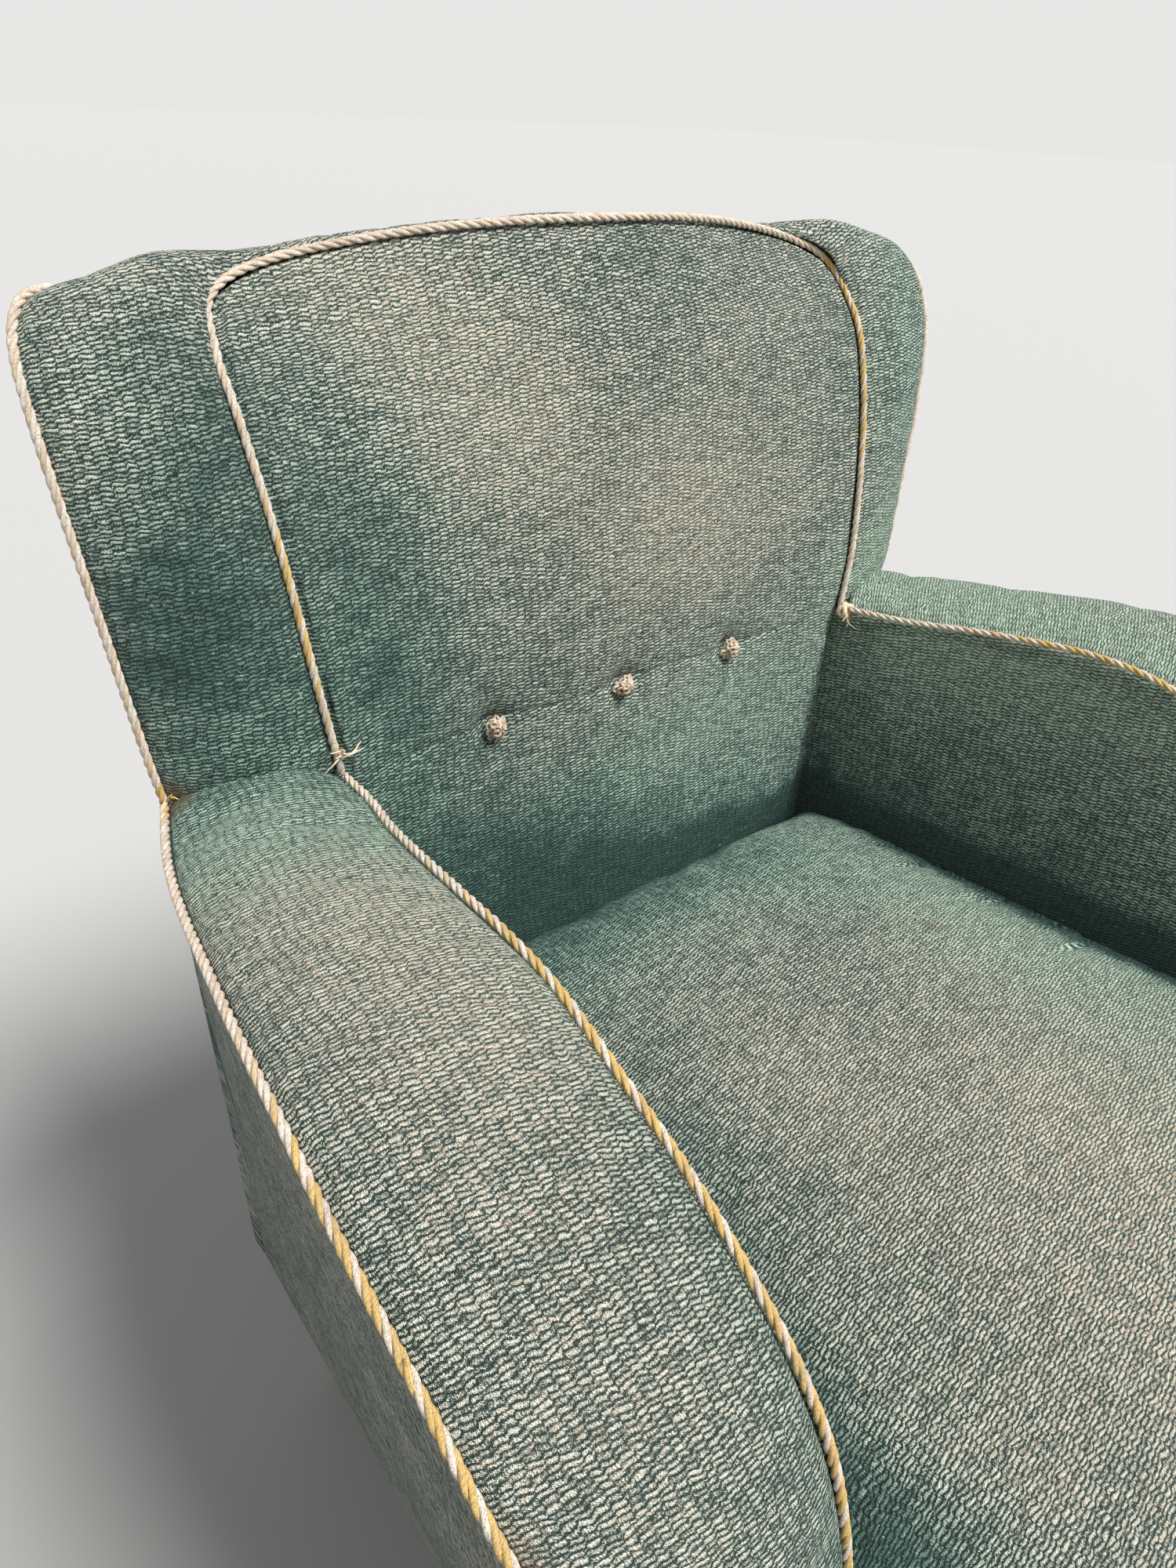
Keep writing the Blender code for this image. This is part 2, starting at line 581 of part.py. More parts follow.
def arm(side):
    near, far = Path(ARM_INNER), Path(ARM_OUTER)
    top = strip(far, near, near.shares(0.012, 0.998, 0.045, 0.14), (0, 0.12, 0.37, 0.63, 0.88, 1), lambda share: 0.010)
    sheet(f"{side}_arm_top_cover", on_side(top, side), CLOTH, "wool")
    above_rail = [row for row in inner(offset(top, UNDER)) if row[0].z > RAIL_TOP + 0.010]
    sheet(f"{side}_arm_padding", on_side(above_rail, side), PAD, "horsehair")
    wood = [row for row in inner(offset(top, UNDER + PAD + GAP)) if row[0].z > RAIL_TOP + 0.012]
    sheet(f"{side}_arm_board", on_side([row for row in wood if row[0].y > -0.10], side), BOARD, "beech")
    facing = [row for row in wood if row[0].y < -0.115]
    sheet(f"{side}_arm_post", on_side(facing, side), BOARD, "beech")

    facing = (1, 0, 0)
    seam = [INSIDE_ARM_HEAD, *inset(ARM_INNER[1:], SEAM, facing)]
    head = Path(seam[: ARM_SHOULDER_INNER + 1])
    front = Path([*reversed(seam[ARM_SHOULDER_INNER:15])])
    rear = Path([INSIDE_ARM_FOOT, INSIDE_ARM_HEAD])
    foot = Path([rear(0), front(0)])
    rows = patch(foot, head, rear, front, spaced(0, 1, 10), spaced(0, 1, 7), 0.002, trim=0)
    sheet(f"inside_{side}_arm_cover", on_side(rows, side), CLOTH, "wool")

    seam = inset(ARM_OUTER, SEAM, facing)
    head = Path([*reversed(seam[: ARM_SHOULDER_OUTER + 1])])
    front = Path([*reversed(seam[ARM_SHOULDER_OUTER:])])
    rear = Path([REAR_FOOT, seam[0]])
    foot = Path([front(0), rear(0)])
    rows = patch(foot, head, front, rear, spaced(0, 1, 11), spaced(0, 1, 9), 0.004, trim=0)
    sheet(f"outside_{side}_arm_cover", on_side(rows, side), CLOTH, "wool")

    sign = -1 if side == "left" else 1
    for name, seam in (("inner", near), ("outer", far)):
        points = [seam(s) for s in seam.shares(0.009, 1, 0.035, 0.13)]
        cord(f"{side}_arm_{name}_cord", [(sign * p.x, p.y, p.z) for p in points], CORD_RADIUS, "cord")


# ---------------------------------------------------------------- trim
def back_cords():
    for name, points in (("back_inner_cord", BACK_INNER), ("back_outer_cord", BACK_OUTER)):
        whole = Path([*[Vector(p) for p in points], *reversed(mirrored(points)[:-1])])
        cord(name, [whole(s) for s in whole.shares(0, 1, 0.035, 0.13)], CORD_RADIUS, "cord")


def buttons():
    """Three tufts of cord yarn on the inside back, each a low domed rosette."""
    rows = inside_back_rows(spaced(0, 1, 41), spaced(0, 1, 41))
    points = [p for row in rows for p in row]
    for name, (x, z) in zip(("left_button", "middle_button", "right_button"), BUTTON_POINTS):
        near = sorted(points, key=lambda p: (p.x - x) ** 2 + (p.z - z) ** 2)[0]
        data = bpy.data.meshes.new(name)
        bm = bmesh.new()
        bmesh.ops.create_uvsphere(bm, u_segments=12, v_segments=6, radius=0.0105)
        bmesh.ops.scale(bm, vec=(1, 0.40, 1), verts=bm.verts)
        bm.to_mesh(data)
        bm.free()
        obj = add(name, data, "cord")
        obj.location = (x, near.y - 0.0105 * 0.40 - 0.0006, z)


def dust_cloth():
    """Black cloth tacked under the seat, cut away round the legs."""
    level = RAIL_FOOT - GAP - 0.0016 - GAP
    front, rear, half_front, half_rear, notch = -0.262, 0.236, 0.334, 0.286, 0.058
    right = [
        (half_front - notch - 0.010, front), (half_front - notch - 0.010, front + notch), (half_front, front + notch),
        (half_rear + 0.004, rear - notch - 0.018), (half_rear - notch - 0.010, rear - notch - 0.018),
        (half_rear - notch - 0.010, rear),
    ]
    outline = right + [(-x, y) for x, y in reversed(right)]
    plate("dust_cloth", outline, level - 0.0008, level, "dust_cloth")


def build():
    seat_frame()
    uprights()
    legs()
    seat_webbing()
    springs()
    spring_hessian()
    seat()
    back()
    arm("left")
    arm("right")
    back_cords()
    buttons()
    dust_cloth()


build()
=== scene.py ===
import math

import bmesh
import bpy
import numpy as np
from mathutils import Matrix, Vector, noise


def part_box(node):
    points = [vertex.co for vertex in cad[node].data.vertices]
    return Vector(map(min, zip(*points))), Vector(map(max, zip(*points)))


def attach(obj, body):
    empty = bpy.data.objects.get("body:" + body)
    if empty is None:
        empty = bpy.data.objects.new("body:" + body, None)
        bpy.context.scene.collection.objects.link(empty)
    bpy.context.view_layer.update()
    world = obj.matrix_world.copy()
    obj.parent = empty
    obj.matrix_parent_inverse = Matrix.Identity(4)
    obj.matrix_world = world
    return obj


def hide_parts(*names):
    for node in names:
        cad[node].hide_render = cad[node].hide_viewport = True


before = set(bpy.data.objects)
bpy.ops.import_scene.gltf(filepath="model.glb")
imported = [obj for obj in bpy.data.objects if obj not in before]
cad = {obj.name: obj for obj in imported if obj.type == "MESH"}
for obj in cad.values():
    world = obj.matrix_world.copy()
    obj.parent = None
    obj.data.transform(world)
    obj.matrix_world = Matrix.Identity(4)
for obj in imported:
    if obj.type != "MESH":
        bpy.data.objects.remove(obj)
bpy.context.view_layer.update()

# --------------------
# Beech frame. Seat rails, corner blocks, posts, arm boards and arm fronts are raw sawn beech, doweled and glued.
# They are inside the covers, so they keep their sawn faces and only get the wood's grain.


class Value:
    """A number that varies over a surface: Python's operators add the Math nodes."""

    def __init__(self, finish, socket):
        self.finish = finish
        self.socket = socket

    def math(self, operation, *others):
        return self.finish.maths(operation, self, *others)

    def __add__(self, other):
        return self.math("ADD", other)

    def __sub__(self, other):
        return self.math("SUBTRACT", other)

    def __mul__(self, other):
        return self.math("MULTIPLY", other)

    def __truediv__(self, other):
        return self.math("DIVIDE", other)

    def __pow__(self, other):
        return self.math("POWER", other)

    def __rsub__(self, other):
        return self.finish.maths("SUBTRACT", other, self)

    __radd__ = __add__
    __rmul__ = __mul__

    def sine(self):
        return self.math("SINE")

    def floor(self):
        return self.math("FLOOR")

    def fraction(self):
        return self.math("FRACT")

    def held(self):
        """The same number kept between 0 and 1."""
        return self.finish.maths("ADD", self, 0.0, clamp=True)

    def rising(self, low, high):
        """0 below low, 1 above high, smooth between."""
        settings = {"interpolation_type": "SMOOTHSTEP"}
        return self.finish.node("MapRange", settings, {"Value": self, "From Min": low, "From Max": high})


class Finish:
    """A material being mixed: node() adds any shader node, the other methods the ones used most."""

    def __init__(self, name, roughness, **constants):
        self.material = bpy.data.materials.new(name)
        self.material.use_nodes = True
        self.tree = self.material.node_tree
        self.shader = self.tree.nodes["Principled BSDF"]
        self.shader.inputs["Roughness"].default_value = roughness
        for key, value in constants.items():
            self.shader.inputs[key.replace("_", " ").title().replace("Ior", "IOR")].default_value = value

    def node(self, kind, settings, inputs, output=0):
        made = self.tree.nodes.new("ShaderNode" + kind)
        stops = settings.pop("stops", None)
        for key, value in settings.items():
            setattr(made, key, value)
        for k, (place, colour) in enumerate(stops or ()):
            element = made.color_ramp.elements[k] if k < 2 else made.color_ramp.elements.new(place)
            element.position = place
            element.color = (*colour, 1)
        for key, value in inputs.items():
            if isinstance(value, Value):
                self.tree.links.new(value.socket, made.inputs[key])
            else:
                made.inputs[key].default_value = value
        return Value(self, made.outputs[output])

    def maths(self, operation, *numbers, clamp=False):
        return self.node("Math", {"operation": operation, "use_clamp": clamp}, dict(enumerate(numbers)))

    def attribute(self, name, output="Fac"):
        return self.node("Attribute", {"attribute_name": name}, {}, output)

    def parts(self, vector):
        """The three numbers of a vector."""
        split = self.node("SeparateXYZ", {}, {"Vector": vector})
        return [Value(self, socket) for socket in split.socket.node.outputs]

    def place(self, stretch=(1, 1, 1), centre=(0, 0, 0), turn=(0, 0, 0)):
        """Object coordinates in metres, measured from centre, turned, then stretched."""
        here = self.node("TexCoord", {}, {}, "Object")
        moved = self.node("VectorMath", {"operation": "SUBTRACT"}, {0: here, 1: centre})
        return self.node("Mapping", {"vector_type": "POINT"}, {"Vector": moved, "Rotation": turn, "Scale": stretch})

    def cloud(self, where, scale, detail=2.0, rough=0.5):
        inputs = {"Vector": where, "Scale": scale, "Detail": detail, "Roughness": rough}
        return self.node("TexNoise", {"noise_dimensions": "3D"}, inputs)

    def ramp(self, factor, *stops):
        return self.node("ValToRGB", {"stops": stops}, {"Fac": factor})

    def mix(self, factor, first, second, way="MIX"):
        first = first if isinstance(first, Value) else (*first, 1)
        second = second if isinstance(second, Value) else (*second, 1)
        settings = {"data_type": "RGBA", "blend_type": way}
        return self.node("Mix", settings, {0: factor, 6: first, 7: second}, 2)

    def bump(self, height, distance, strength=1.0):
        bumped = self.node("Bump", {}, {"Height": height, "Distance": distance, "Strength": strength})
        self.tree.links.new(bumped.socket, self.shader.inputs["Normal"])

    def feed(self, key, value):
        self.tree.links.new(value.socket, self.shader.inputs[key])
        return self

    def onto(self, *names):
        """Puts the finish on CAD nodes, on their object slots."""
        for name in names:
            for k in range(len(cad[name].material_slots)):
                cad[name].material_slots[k].link = "OBJECT"
                cad[name].material_slots[k].material = self.material


def sawn_beech():
    beech = Finish("sawn_beech", 0.6)
    along = beech.cloud(beech.place((6, 6, 60)), 3.0, 4.0)
    fleck = beech.cloud(beech.place((90, 90, 400)), 1.6, 2.0).rising(0.58, 0.66)
    colour = beech.ramp(along, (0.3, (0.42, 0.25, 0.13)), (0.7, (0.62, 0.42, 0.25)))
    beech.feed("Base Color", beech.mix(fleck * 0.35, colour, (0.30, 0.16, 0.08)))
    beech.feed("Roughness", along * 0.2 + 0.5)
    beech.bump(along + fleck * 0.5, 0.0004)
    return beech


SIGNS = {"left": -1, "right": 1}
sawn_beech().onto(
    "back_top_rail", "back_lower_rail", *(f"{place}_seat_rail" for place in ("front", "rear", *SIGNS)),
    *(f"{end}_{side}_corner_block" for end in ("front", "rear") for side in SIGNS),
    *(f"{side}_{part}" for side in SIGNS for part in ("back_post", "arm_tack_rail", "arm_board", "arm_post")),
)  # fmt: skip

# --------------------
# Suspension. Nine coil springs of dull steel wire stand on jute webbing, and hessian is stretched over them.
# The inside back has its own webbing and hessian, tacked to the back posts and rails.


def spring_wire():
    wire = Finish("spring_wire", 0.45, metallic=1.0)
    rust = wire.cloud(wire.place(), 90.0, 5.0).rising(0.50, 0.68)
    wire.feed("Base Color", wire.mix(rust, (0.36, 0.34, 0.32), (0.16, 0.07, 0.03)))
    wire.feed("Roughness", rust * 0.4 + 0.38)
    wire.feed("Metallic", 1 - rust * 0.8)
    wire.bump(rust, 0.0003)
    return wire


def woven(name, dark, pale, pitch):
    """A plain weave of round yarns at pitch metres, seen from above or from the front."""
    cloth = Finish(name, 0.9)
    turn = 2 * math.pi / pitch
    x, y, z = (part.sine() for part in cloth.parts(cloth.place((turn, turn, turn))))
    yarns = x * (y + z) * 0.35 + 0.5
    uneven = cloth.cloud(cloth.place(), 40.0, 4.0)
    cloth.feed("Base Color", cloth.mix((yarns * 0.6 + uneven * 0.5).held(), dark, pale))
    cloth.bump(yarns, 0.0006)
    return cloth


spring_wire().onto(*[f"seat_spring_{k}" for k in range(1, 10)])
woven("jute_webbing", (0.26, 0.18, 0.09), (0.56, 0.44, 0.27), 0.0028).onto("seat_webbing", "back_webbing")
woven("hessian", (0.28, 0.21, 0.12), (0.62, 0.50, 0.33), 0.0036).onto("spring_hessian", "back_hessian")

# --------------------
# Stuffing. Curled horsehair and fibre on the seat, the inside back, the back's border and the arms.
# It is packed by hand under the covers and none of it shows.


def horsehair():
    hair = Finish("horsehair", 0.85)
    strands = hair.cloud(hair.place(), 240.0, 6.0, 0.7)
    hair.feed("Base Color", hair.ramp(strands, (0.35, (0.03, 0.02, 0.014)), (0.7, (0.20, 0.14, 0.09))))
    hair.bump(strands, 0.002)
    return hair


HAIR = horsehair()
HAIR.onto("seat_stuffing", "back_stuffing", "back_border_padding", "left_arm_padding", "right_arm_padding")

# --------------------
# Legs. Four turned and tapered beech legs, stained dark brown under old varnish that is rubbed through at the foot.
# Each is screwed up into its corner block.

LEG_HEIGHT = 0.1741
LEG_TOP = 0.0235
LEG_FOOT = 0.0145
LEG_ROUNDING = 0.0015
# Where the right legs' tops and feet stand: across and in depth.
LEG_PLACES = {"front": ((0.3060, -0.2340), (0.3140, -0.2500)), "rear": ((0.2450, 0.2080), (0.2400, 0.2300))}


def added(name, data):
    made = bpy.data.objects.new(name, data)
    bpy.context.scene.collection.objects.link(made)
    return made


def piece(name, points, faces, finish, smooth=True):
    """A mesh object at the origin, with its place in its points, riding on the chair's one body."""
    data = bpy.data.meshes.new(name)
    data.from_pydata([tuple(p) for p in points], [], [tuple(int(k) for k in f) for f in faces])
    data.update()
    if smooth:
        data.shade_smooth()
    made = added(name, data)
    data.materials.append(finish.material)
    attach(made, "root")
    return made


def tube_faces(rings, sides):
    """Faces of a tube with closed ends, whose points come ring by ring."""
    faces = []
    for start in range(0, (rings - 1) * sides, sides):
        for a in range(sides):
            n = (a + 1) % sides
            faces.append((start + a, start + n, start + sides + n, start + sides + a))
    return [*faces, range(sides)[::-1], range((rings - 1) * sides, rings * sides)]


def varnished_beech():
    leg = Finish("varnished_beech", 0.4)
    grain = leg.cloud(leg.place((55, 55, 5)), 4.0, 5.0, 0.6)
    height = leg.parts(leg.place())[2]
    scuffs = leg.cloud(leg.place((1, 1, 0.6)), 110.0, 4.0, 0.6)
    rubbed = (scuffs + (1 - height.rising(0.004, 0.045)) * 0.22).rising(0.60, 0.72)
    stain = leg.ramp(grain, (0.3, (0.050, 0.020, 0.010)), (0.7, (0.150, 0.062, 0.028)))
    leg.feed("Base Color", leg.mix(rubbed, stain, (0.36, 0.20, 0.10)))
    leg.feed("Roughness", rubbed * 0.35 + grain * 0.12 + 0.28)
    leg.bump(grain * 0.4 - rubbed * 0.4, 0.0004)
    return leg


def legs():
    varnish = varnished_beech()
    around, rings = 48, 28
    for end, (top, foot) in LEG_PLACES.items():
        for side, sign in SIGNS.items():
            points = []
            for k in range(rings + 1):
                t = k / rings
                radius = LEG_FOOT + (LEG_TOP - LEG_FOOT) * math.sin(t * math.pi / 2) ** 0.9
                if k == 0:
                    radius -= LEG_ROUNDING
                x = (foot[0] + (top[0] - foot[0]) * t) * sign
                y = foot[1] + (top[1] - foot[1]) * t**0.8
                for a in range(around):
                    angle = 2 * math.pi * a / around
                    points.append((x + radius * math.cos(angle), y + radius * math.sin(angle), LEG_HEIGHT * t))
            made = piece(f"turned_{end}_{side}_leg", points, tube_faces(rings + 1, around), varnish)
            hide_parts(f"{end}_{side}_leg")


legs()

# --------------------
# Seams. Every cover is sewn or tacked along these lines, right half given, in metres from the floor's middle point.
# The back's lines run from the arm up to the middle of the crest, the arms' from the back down to the hem.

BACK_INNER = (
    (0.2290, 0.2070, 0.5600), (0.2378, 0.2108, 0.6144), (0.2466, 0.2246, 0.6934), (0.2527, 0.2438, 0.7552),
    (0.2525, 0.2640, 0.7870), (0.2424, 0.2830, 0.8107), (0.2052, 0.2890, 0.8246), (0.1366, 0.2780, 0.8362),
    (0.0700, 0.2650, 0.8420), (0.0000, 0.2600, 0.8435),
)  # fmt: skip
BACK_OUTER = (
    (0.3215, 0.2400, 0.5570), (0.3279, 0.2391, 0.5912), (0.3376, 0.2434, 0.6643), (0.3425, 0.2460, 0.7019),
    (0.3482, 0.2540, 0.7554), (0.3479, 0.2667, 0.7883), (0.3407, 0.2802, 0.8065), (0.3255, 0.2930, 0.8145),
    (0.2900, 0.3060, 0.8110), (0.2000, 0.3200, 0.8040), (0.1000, 0.3270, 0.8010), (0.0000, 0.3290, 0.8000),
)  # fmt: skip
ARM_INNER = (
    (0.2290, 0.2050, 0.5600), (0.2342, 0.1674, 0.5631), (0.2418, 0.1361, 0.5659), (0.2492, 0.0999, 0.5715),
    (0.2574, 0.0468, 0.5783), (0.2615, 0.0109, 0.5812), (0.2650, -0.0300, 0.5790), (0.2685, -0.0700, 0.5680),
    (0.2700, -0.1200, 0.5470), (0.2704, -0.1620, 0.5200), (0.2690, -0.1860, 0.4960), (0.2655, -0.2030, 0.4650),
    (0.2616, -0.2142, 0.4256), (0.2590, -0.2230, 0.3800), (0.2560, -0.2400, 0.3000), (0.2535, -0.2620, 0.2200),
    (0.2515, -0.2780, 0.1720),
)  # fmt: skip
ARM_OUTER = (
    (0.3215, 0.2400, 0.5570), (0.3375, 0.2023, 0.5566), (0.3507, 0.1644, 0.5607), (0.3614, 0.1242, 0.5649),
    (0.3722, 0.0773, 0.5716), (0.3809, 0.0361, 0.5758), (0.3874, 0.0007, 0.5775), (0.3918, -0.0293, 0.5750),
    (0.3963, -0.0687, 0.5650), (0.3985, -0.1174, 0.5456), (0.3980, -0.1600, 0.5180), (0.3945, -0.1860, 0.4920),
    (0.3890, -0.2030, 0.4590), (0.3830, -0.2140, 0.4180), (0.3760, -0.2240, 0.3650), (0.3660, -0.2400, 0.2920),
    (0.3570, -0.2620, 0.2200), (0.3500, -0.2780, 0.1720),
)  # fmt: skip
REAR_FOOT = (0.3020, 0.2450, 0.1720)
REAR_FOOT_MIDDLE = (0.0, 0.2680, 0.1720)
BACK_FOOT = (0.2050, 0.2070, 0.3600)
BACK_FOOT_MIDDLE = (0.0, 0.2000, 0.3600)
INSIDE_ARM_FOOT = (0.2150, 0.2200, 0.3000)
INSIDE_ARM_HEAD = (0.2290, 0.2160, 0.5580)


class Seam:
    """A smooth line through points; called with shares of its length, it gives the places there."""

    def __init__(self, points):
        p = np.array(points, float)
        ends = np.vstack([2 * p[0] - p[1], p, 2 * p[-1] - p[-2]])
        t = np.linspace(0, 1, 13)[1:, None]
        line = [p[0]]
        for a, b, c, d in zip(ends, ends[1:], ends[2:], ends[3:]):
            square, cube = 2 * a - 5 * b + 4 * c - d, 3 * b - a - 3 * c + d
            line.extend(0.5 * (2 * b + (c - a) * t + square * t**2 + cube * t**3))
        self.line = np.array(line)
        steps = np.linalg.norm(np.diff(self.line, axis=0), axis=1)
        self.marks = np.concatenate([[0], np.cumsum(steps)])
        self.length = self.marks[-1]

    def __call__(self, share):
        want = np.asarray(share, float) * self.length
        return np.stack([np.interp(want, self.marks, self.line[:, k]) for k in range(3)], axis=-1)


def other_side(points):
    return [(-x, y, z) for x, y, z in points]


def whole(points):
    """The seam of both halves: from the right arm over the crest to the left arm."""
    return Seam([*points, *reversed(other_side(points)[:-1])])


# --------------------
# Seat. One wool cover over horsehair, dished by use, tucked down beside the arms and pulled over the front rail.
# Its section runs from the back crease over the nose to the hem: depth, height and crown of each line.

CLOTH = 0.0020
UNDER = 0.0026
RIB_PITCH = 0.0024
RIB_STEP = 0.0057
RIB_BEAD = 0.0012
# The stuffing behind a cover while it settles, in metres, and the frames that takes.
STUFFED = 0.03
SETTLING = 20
SEAT_PROFILE = (
    (0.1925, 0.3640, 0.006), (0.1885, 0.3830, 0.012), (0.1450, 0.3900, 0.020), (0.0600, 0.3900, 0.026),
    (-0.0400, 0.3890, 0.029), (-0.1400, 0.3890, 0.028), (-0.2300, 0.3880, 0.022), (-0.2850, 0.3830, 0.016),
    (-0.3200, 0.3680, 0.010), (-0.3330, 0.3440, 0.006), (-0.3270, 0.3080, 0.004), (-0.3020, 0.2400, 0.002),
    (-0.2735, 0.1720, 0.000),
)  # fmt: skip
# Where use has faded or darkened the wool, with painted light and shade mixed in: paler as painted light where light
# falls on the seat,
# the arm tops and the back, darker as painted shade in the creases where the seat meets the back and the arms and low
# on the inside arms:
# centre and reach, both across, in depth and in height in millimetres, and how much in hundredths.
WEAR_AND_PAINTED_LIGHT = (
    ((-155, 262, 800), (60, 100, 40), 36), ((-93, 251, 744), (65, 100, 50), 46), ((-48, 245, 700), (60, 100, 45), 9),
    ((32, 242, 672), (60, 100, 55), 10), ((110, 250, 760), (100, 100, 70), 12), ((60, 230, 650), (95, 100, 55), 44),
    ((-110, 212, 450), (140, 60, 70), -18), ((-190, 220, 620), (50, 100, 120), -12),
    ((100, 212, 500), (120, 60, 60), 26), ((-325, 252, 765), (28, 100, 50), 15),
    ((-290, 245, 650), (60, 100, 130), -30), ((300, 260, 700), (60, 100, 160), 12), ((-64, 67, 410), (70, 50, 100), 6),
    ((-80, -47, 410), (60, 75, 100), 26), ((-78, -184, 410), (50, 90, 100), 22),
    ((-180, -207, 400), (40, 80, 100), 16), ((22, -165, 410), (60, 70, 100), 47),
    ((130, -60, 410), (120, 140, 100), 34), ((-20, -270, 400), (230, 75, 100), 25),
    ((60, 150, 400), (160, 60, 100), 2), ((-190, 40, 390), (40, 150, 100), -10),
    ((130, -200, 400), (100, 90, 100), 32), ((-300, 4, 580), (60, 80, 50), 82), ((-356, -97, 560), (45, 70, 50), 18),
    ((-345, -174, 520), (60, 50, 60), 20), ((-300, 130, 560), (70, 80, 50), 48), ((-320, -60, 585), (35, 50, 50), 6),
    ((280, 150, 580), (70, 90, 50), 60), ((280, 30, 580), (80, 100, 50), 52), ((330, -80, 570), (80, 120, 60), 24),
    ((245, 0, 380), (50, 300, 80), -28), ((245, 50, 530), (30, 200, 40), 10), ((-245, 0, 400), (50, 300, 90), -25),
    ((-390, 0, 400), (60, 400, 300), -3), ((390, 0, 400), (60, 400, 300), -12), ((0, 310, 500), (400, 50, 400), -12),
    ((-290, 295, 815), (70, 40, 22), 24), ((0, 300, 840), (200, 40, 16), 12), ((290, 295, 815), (70, 40, 22), 20),
    ((160, -40, 410), (70, 150, 80), 26), ((240, 0, 392), (40, 500, 16), -42), ((-240, 0, 392), (40, 500, 16), -30),
    ((0, 192, 385), (500, 10, 30), -60), ((0, 220, 384), (500, 30, 18), -60), ((-30, 220, 398), (130, 30, 18), -30),
    ((0, 160, 400), (200, 45, 60), -10), ((-30, 212, 430), (200, 40, 45), -12),
)  # fmt: skip
# Where the green has held, in the same way.
GREENER = (
    ((-40, 212, 440), (240, 50, 75), 100), ((240, 50, 420), (20, 200, 60), 80), ((160, 0, 400), (90, 260, 60), 100),
    ((0, 150, 400), (300, 80, 60), 100), ((300, 50, 580), (100, 300, 50), 100), ((-300, 160, 560), (90, 70, 50), 100),
    ((130, 212, 480), (120, 60, 80), 100), ((320, 250, 700), (60, 100, 200), 100),
    ((-290, 245, 640), (60, 100, 140), 70), ((245, 0, 430), (40, 400, 160), 100),
    ((-190, 220, 560), (60, 80, 180), 80), ((-245, 0, 430), (40, 400, 160), 100),
)  # fmt: skip
# Brown marks left by rust and damp, in the same way.
STAINED = (
    ((-318, 232, 562), (8, 10, 8), 100), ((-396, -175, 500), (7, 12, 12), 70), ((-398, -205, 450), (7, 12, 14), 60),
    ((110, 0, 410), (5, 6, 20), 60), ((-75, -120, 410), (4, 4, 20), 50),
)  # fmt: skip
# Small balls of rubbed-off green wool, in the same way.
PILLED = (
    ((50, 225, 640), (80, 80, 40), 100), ((-60, 235, 660), (50, 80, 30), 70), ((110, 230, 680), (50, 80, 50), 60),
    ((-300, 140, 560), (50, 60, 40), 80),
)  # fmt: skip


def unit(vectors):
    return vectors / np.maximum(np.linalg.norm(vectors, axis=-1, keepdims=True), 1e-9)


def outward(rows):
    """The way each point of a grid faces."""
    return unit(np.cross(np.gradient(rows, axis=1), np.gradient(rows, axis=0)))


def quads(rows):
    """Four-sided faces between the points of a grid."""
    k = np.arange(rows.shape[0] * rows.shape[1]).reshape(rows.shape[:2])
    return np.stack([k[:-1, :-1], k[:-1, 1:], k[1:, 1:], k[1:, :-1]], -1).reshape(-1, 4)


def run(rows, axis):
    """Length along a grid from its first line, in metres."""
    steps = np.linalg.norm(np.diff(rows, axis=axis), axis=-1)
    start = np.zeros_like(steps[:1] if axis == 0 else steps[:, :1])
    return np.concatenate([start, np.cumsum(steps, axis=axis)], axis=axis)


def tucked(rows, sides, depth=0.0028, reach=0.012):
    """The cover turned down to its seams: sides are any of l, r, f and h, the grid's first and last column and line."""
    u, v = run(rows, 1), run(rows, 0)
    near = {"l": u, "r": u[:, -1:] - u, "f": v, "h": v[-1:] - v}
    distance = np.minimum.reduce([near[s] for s in sides])
    drop = depth * np.clip(1 - distance / reach, 0, 1) ** 2
    return rows - outward(rows) * drop[..., None]


def lumpy(rows, size, height, seed):
    """The stuffing's soft unevenness."""
    flat = rows.reshape(-1, 3)
    lift = np.array([noise.noise(Vector(p) / size + Vector((seed, 0, 0))) for p in flat]).reshape(rows.shape[:2])
    return rows + outward(rows) * (lift * height)[..., None]


def spots(points, places):
    """How much each point lies in the given places."""
    total = np.zeros(len(points))
    for centre, reach, amount in places:
        away = (((points - np.array(centre) / 1000) / (np.array(reach) / 1000)) ** 2).sum(-1)
        total += amount / 100 * np.exp(-away)
    return total


def shell(rows):
    """Faces of a closed shell between a grid and another behind it, and the points along the grid's edge."""
    front, k = quads(rows), np.arange(rows.shape[0] * rows.shape[1]).reshape(rows.shape[:2])
    edge = np.concatenate([k[0], k[1:, -1], k[-1, -2::-1], k[-2:0:-1, 0]])
    after = np.roll(edge, -1)
    rim = np.stack([after, edge, edge + k.size, after + k.size], -1)
    return np.concatenate([front, front[:, ::-1] + k.size, rim]), edge


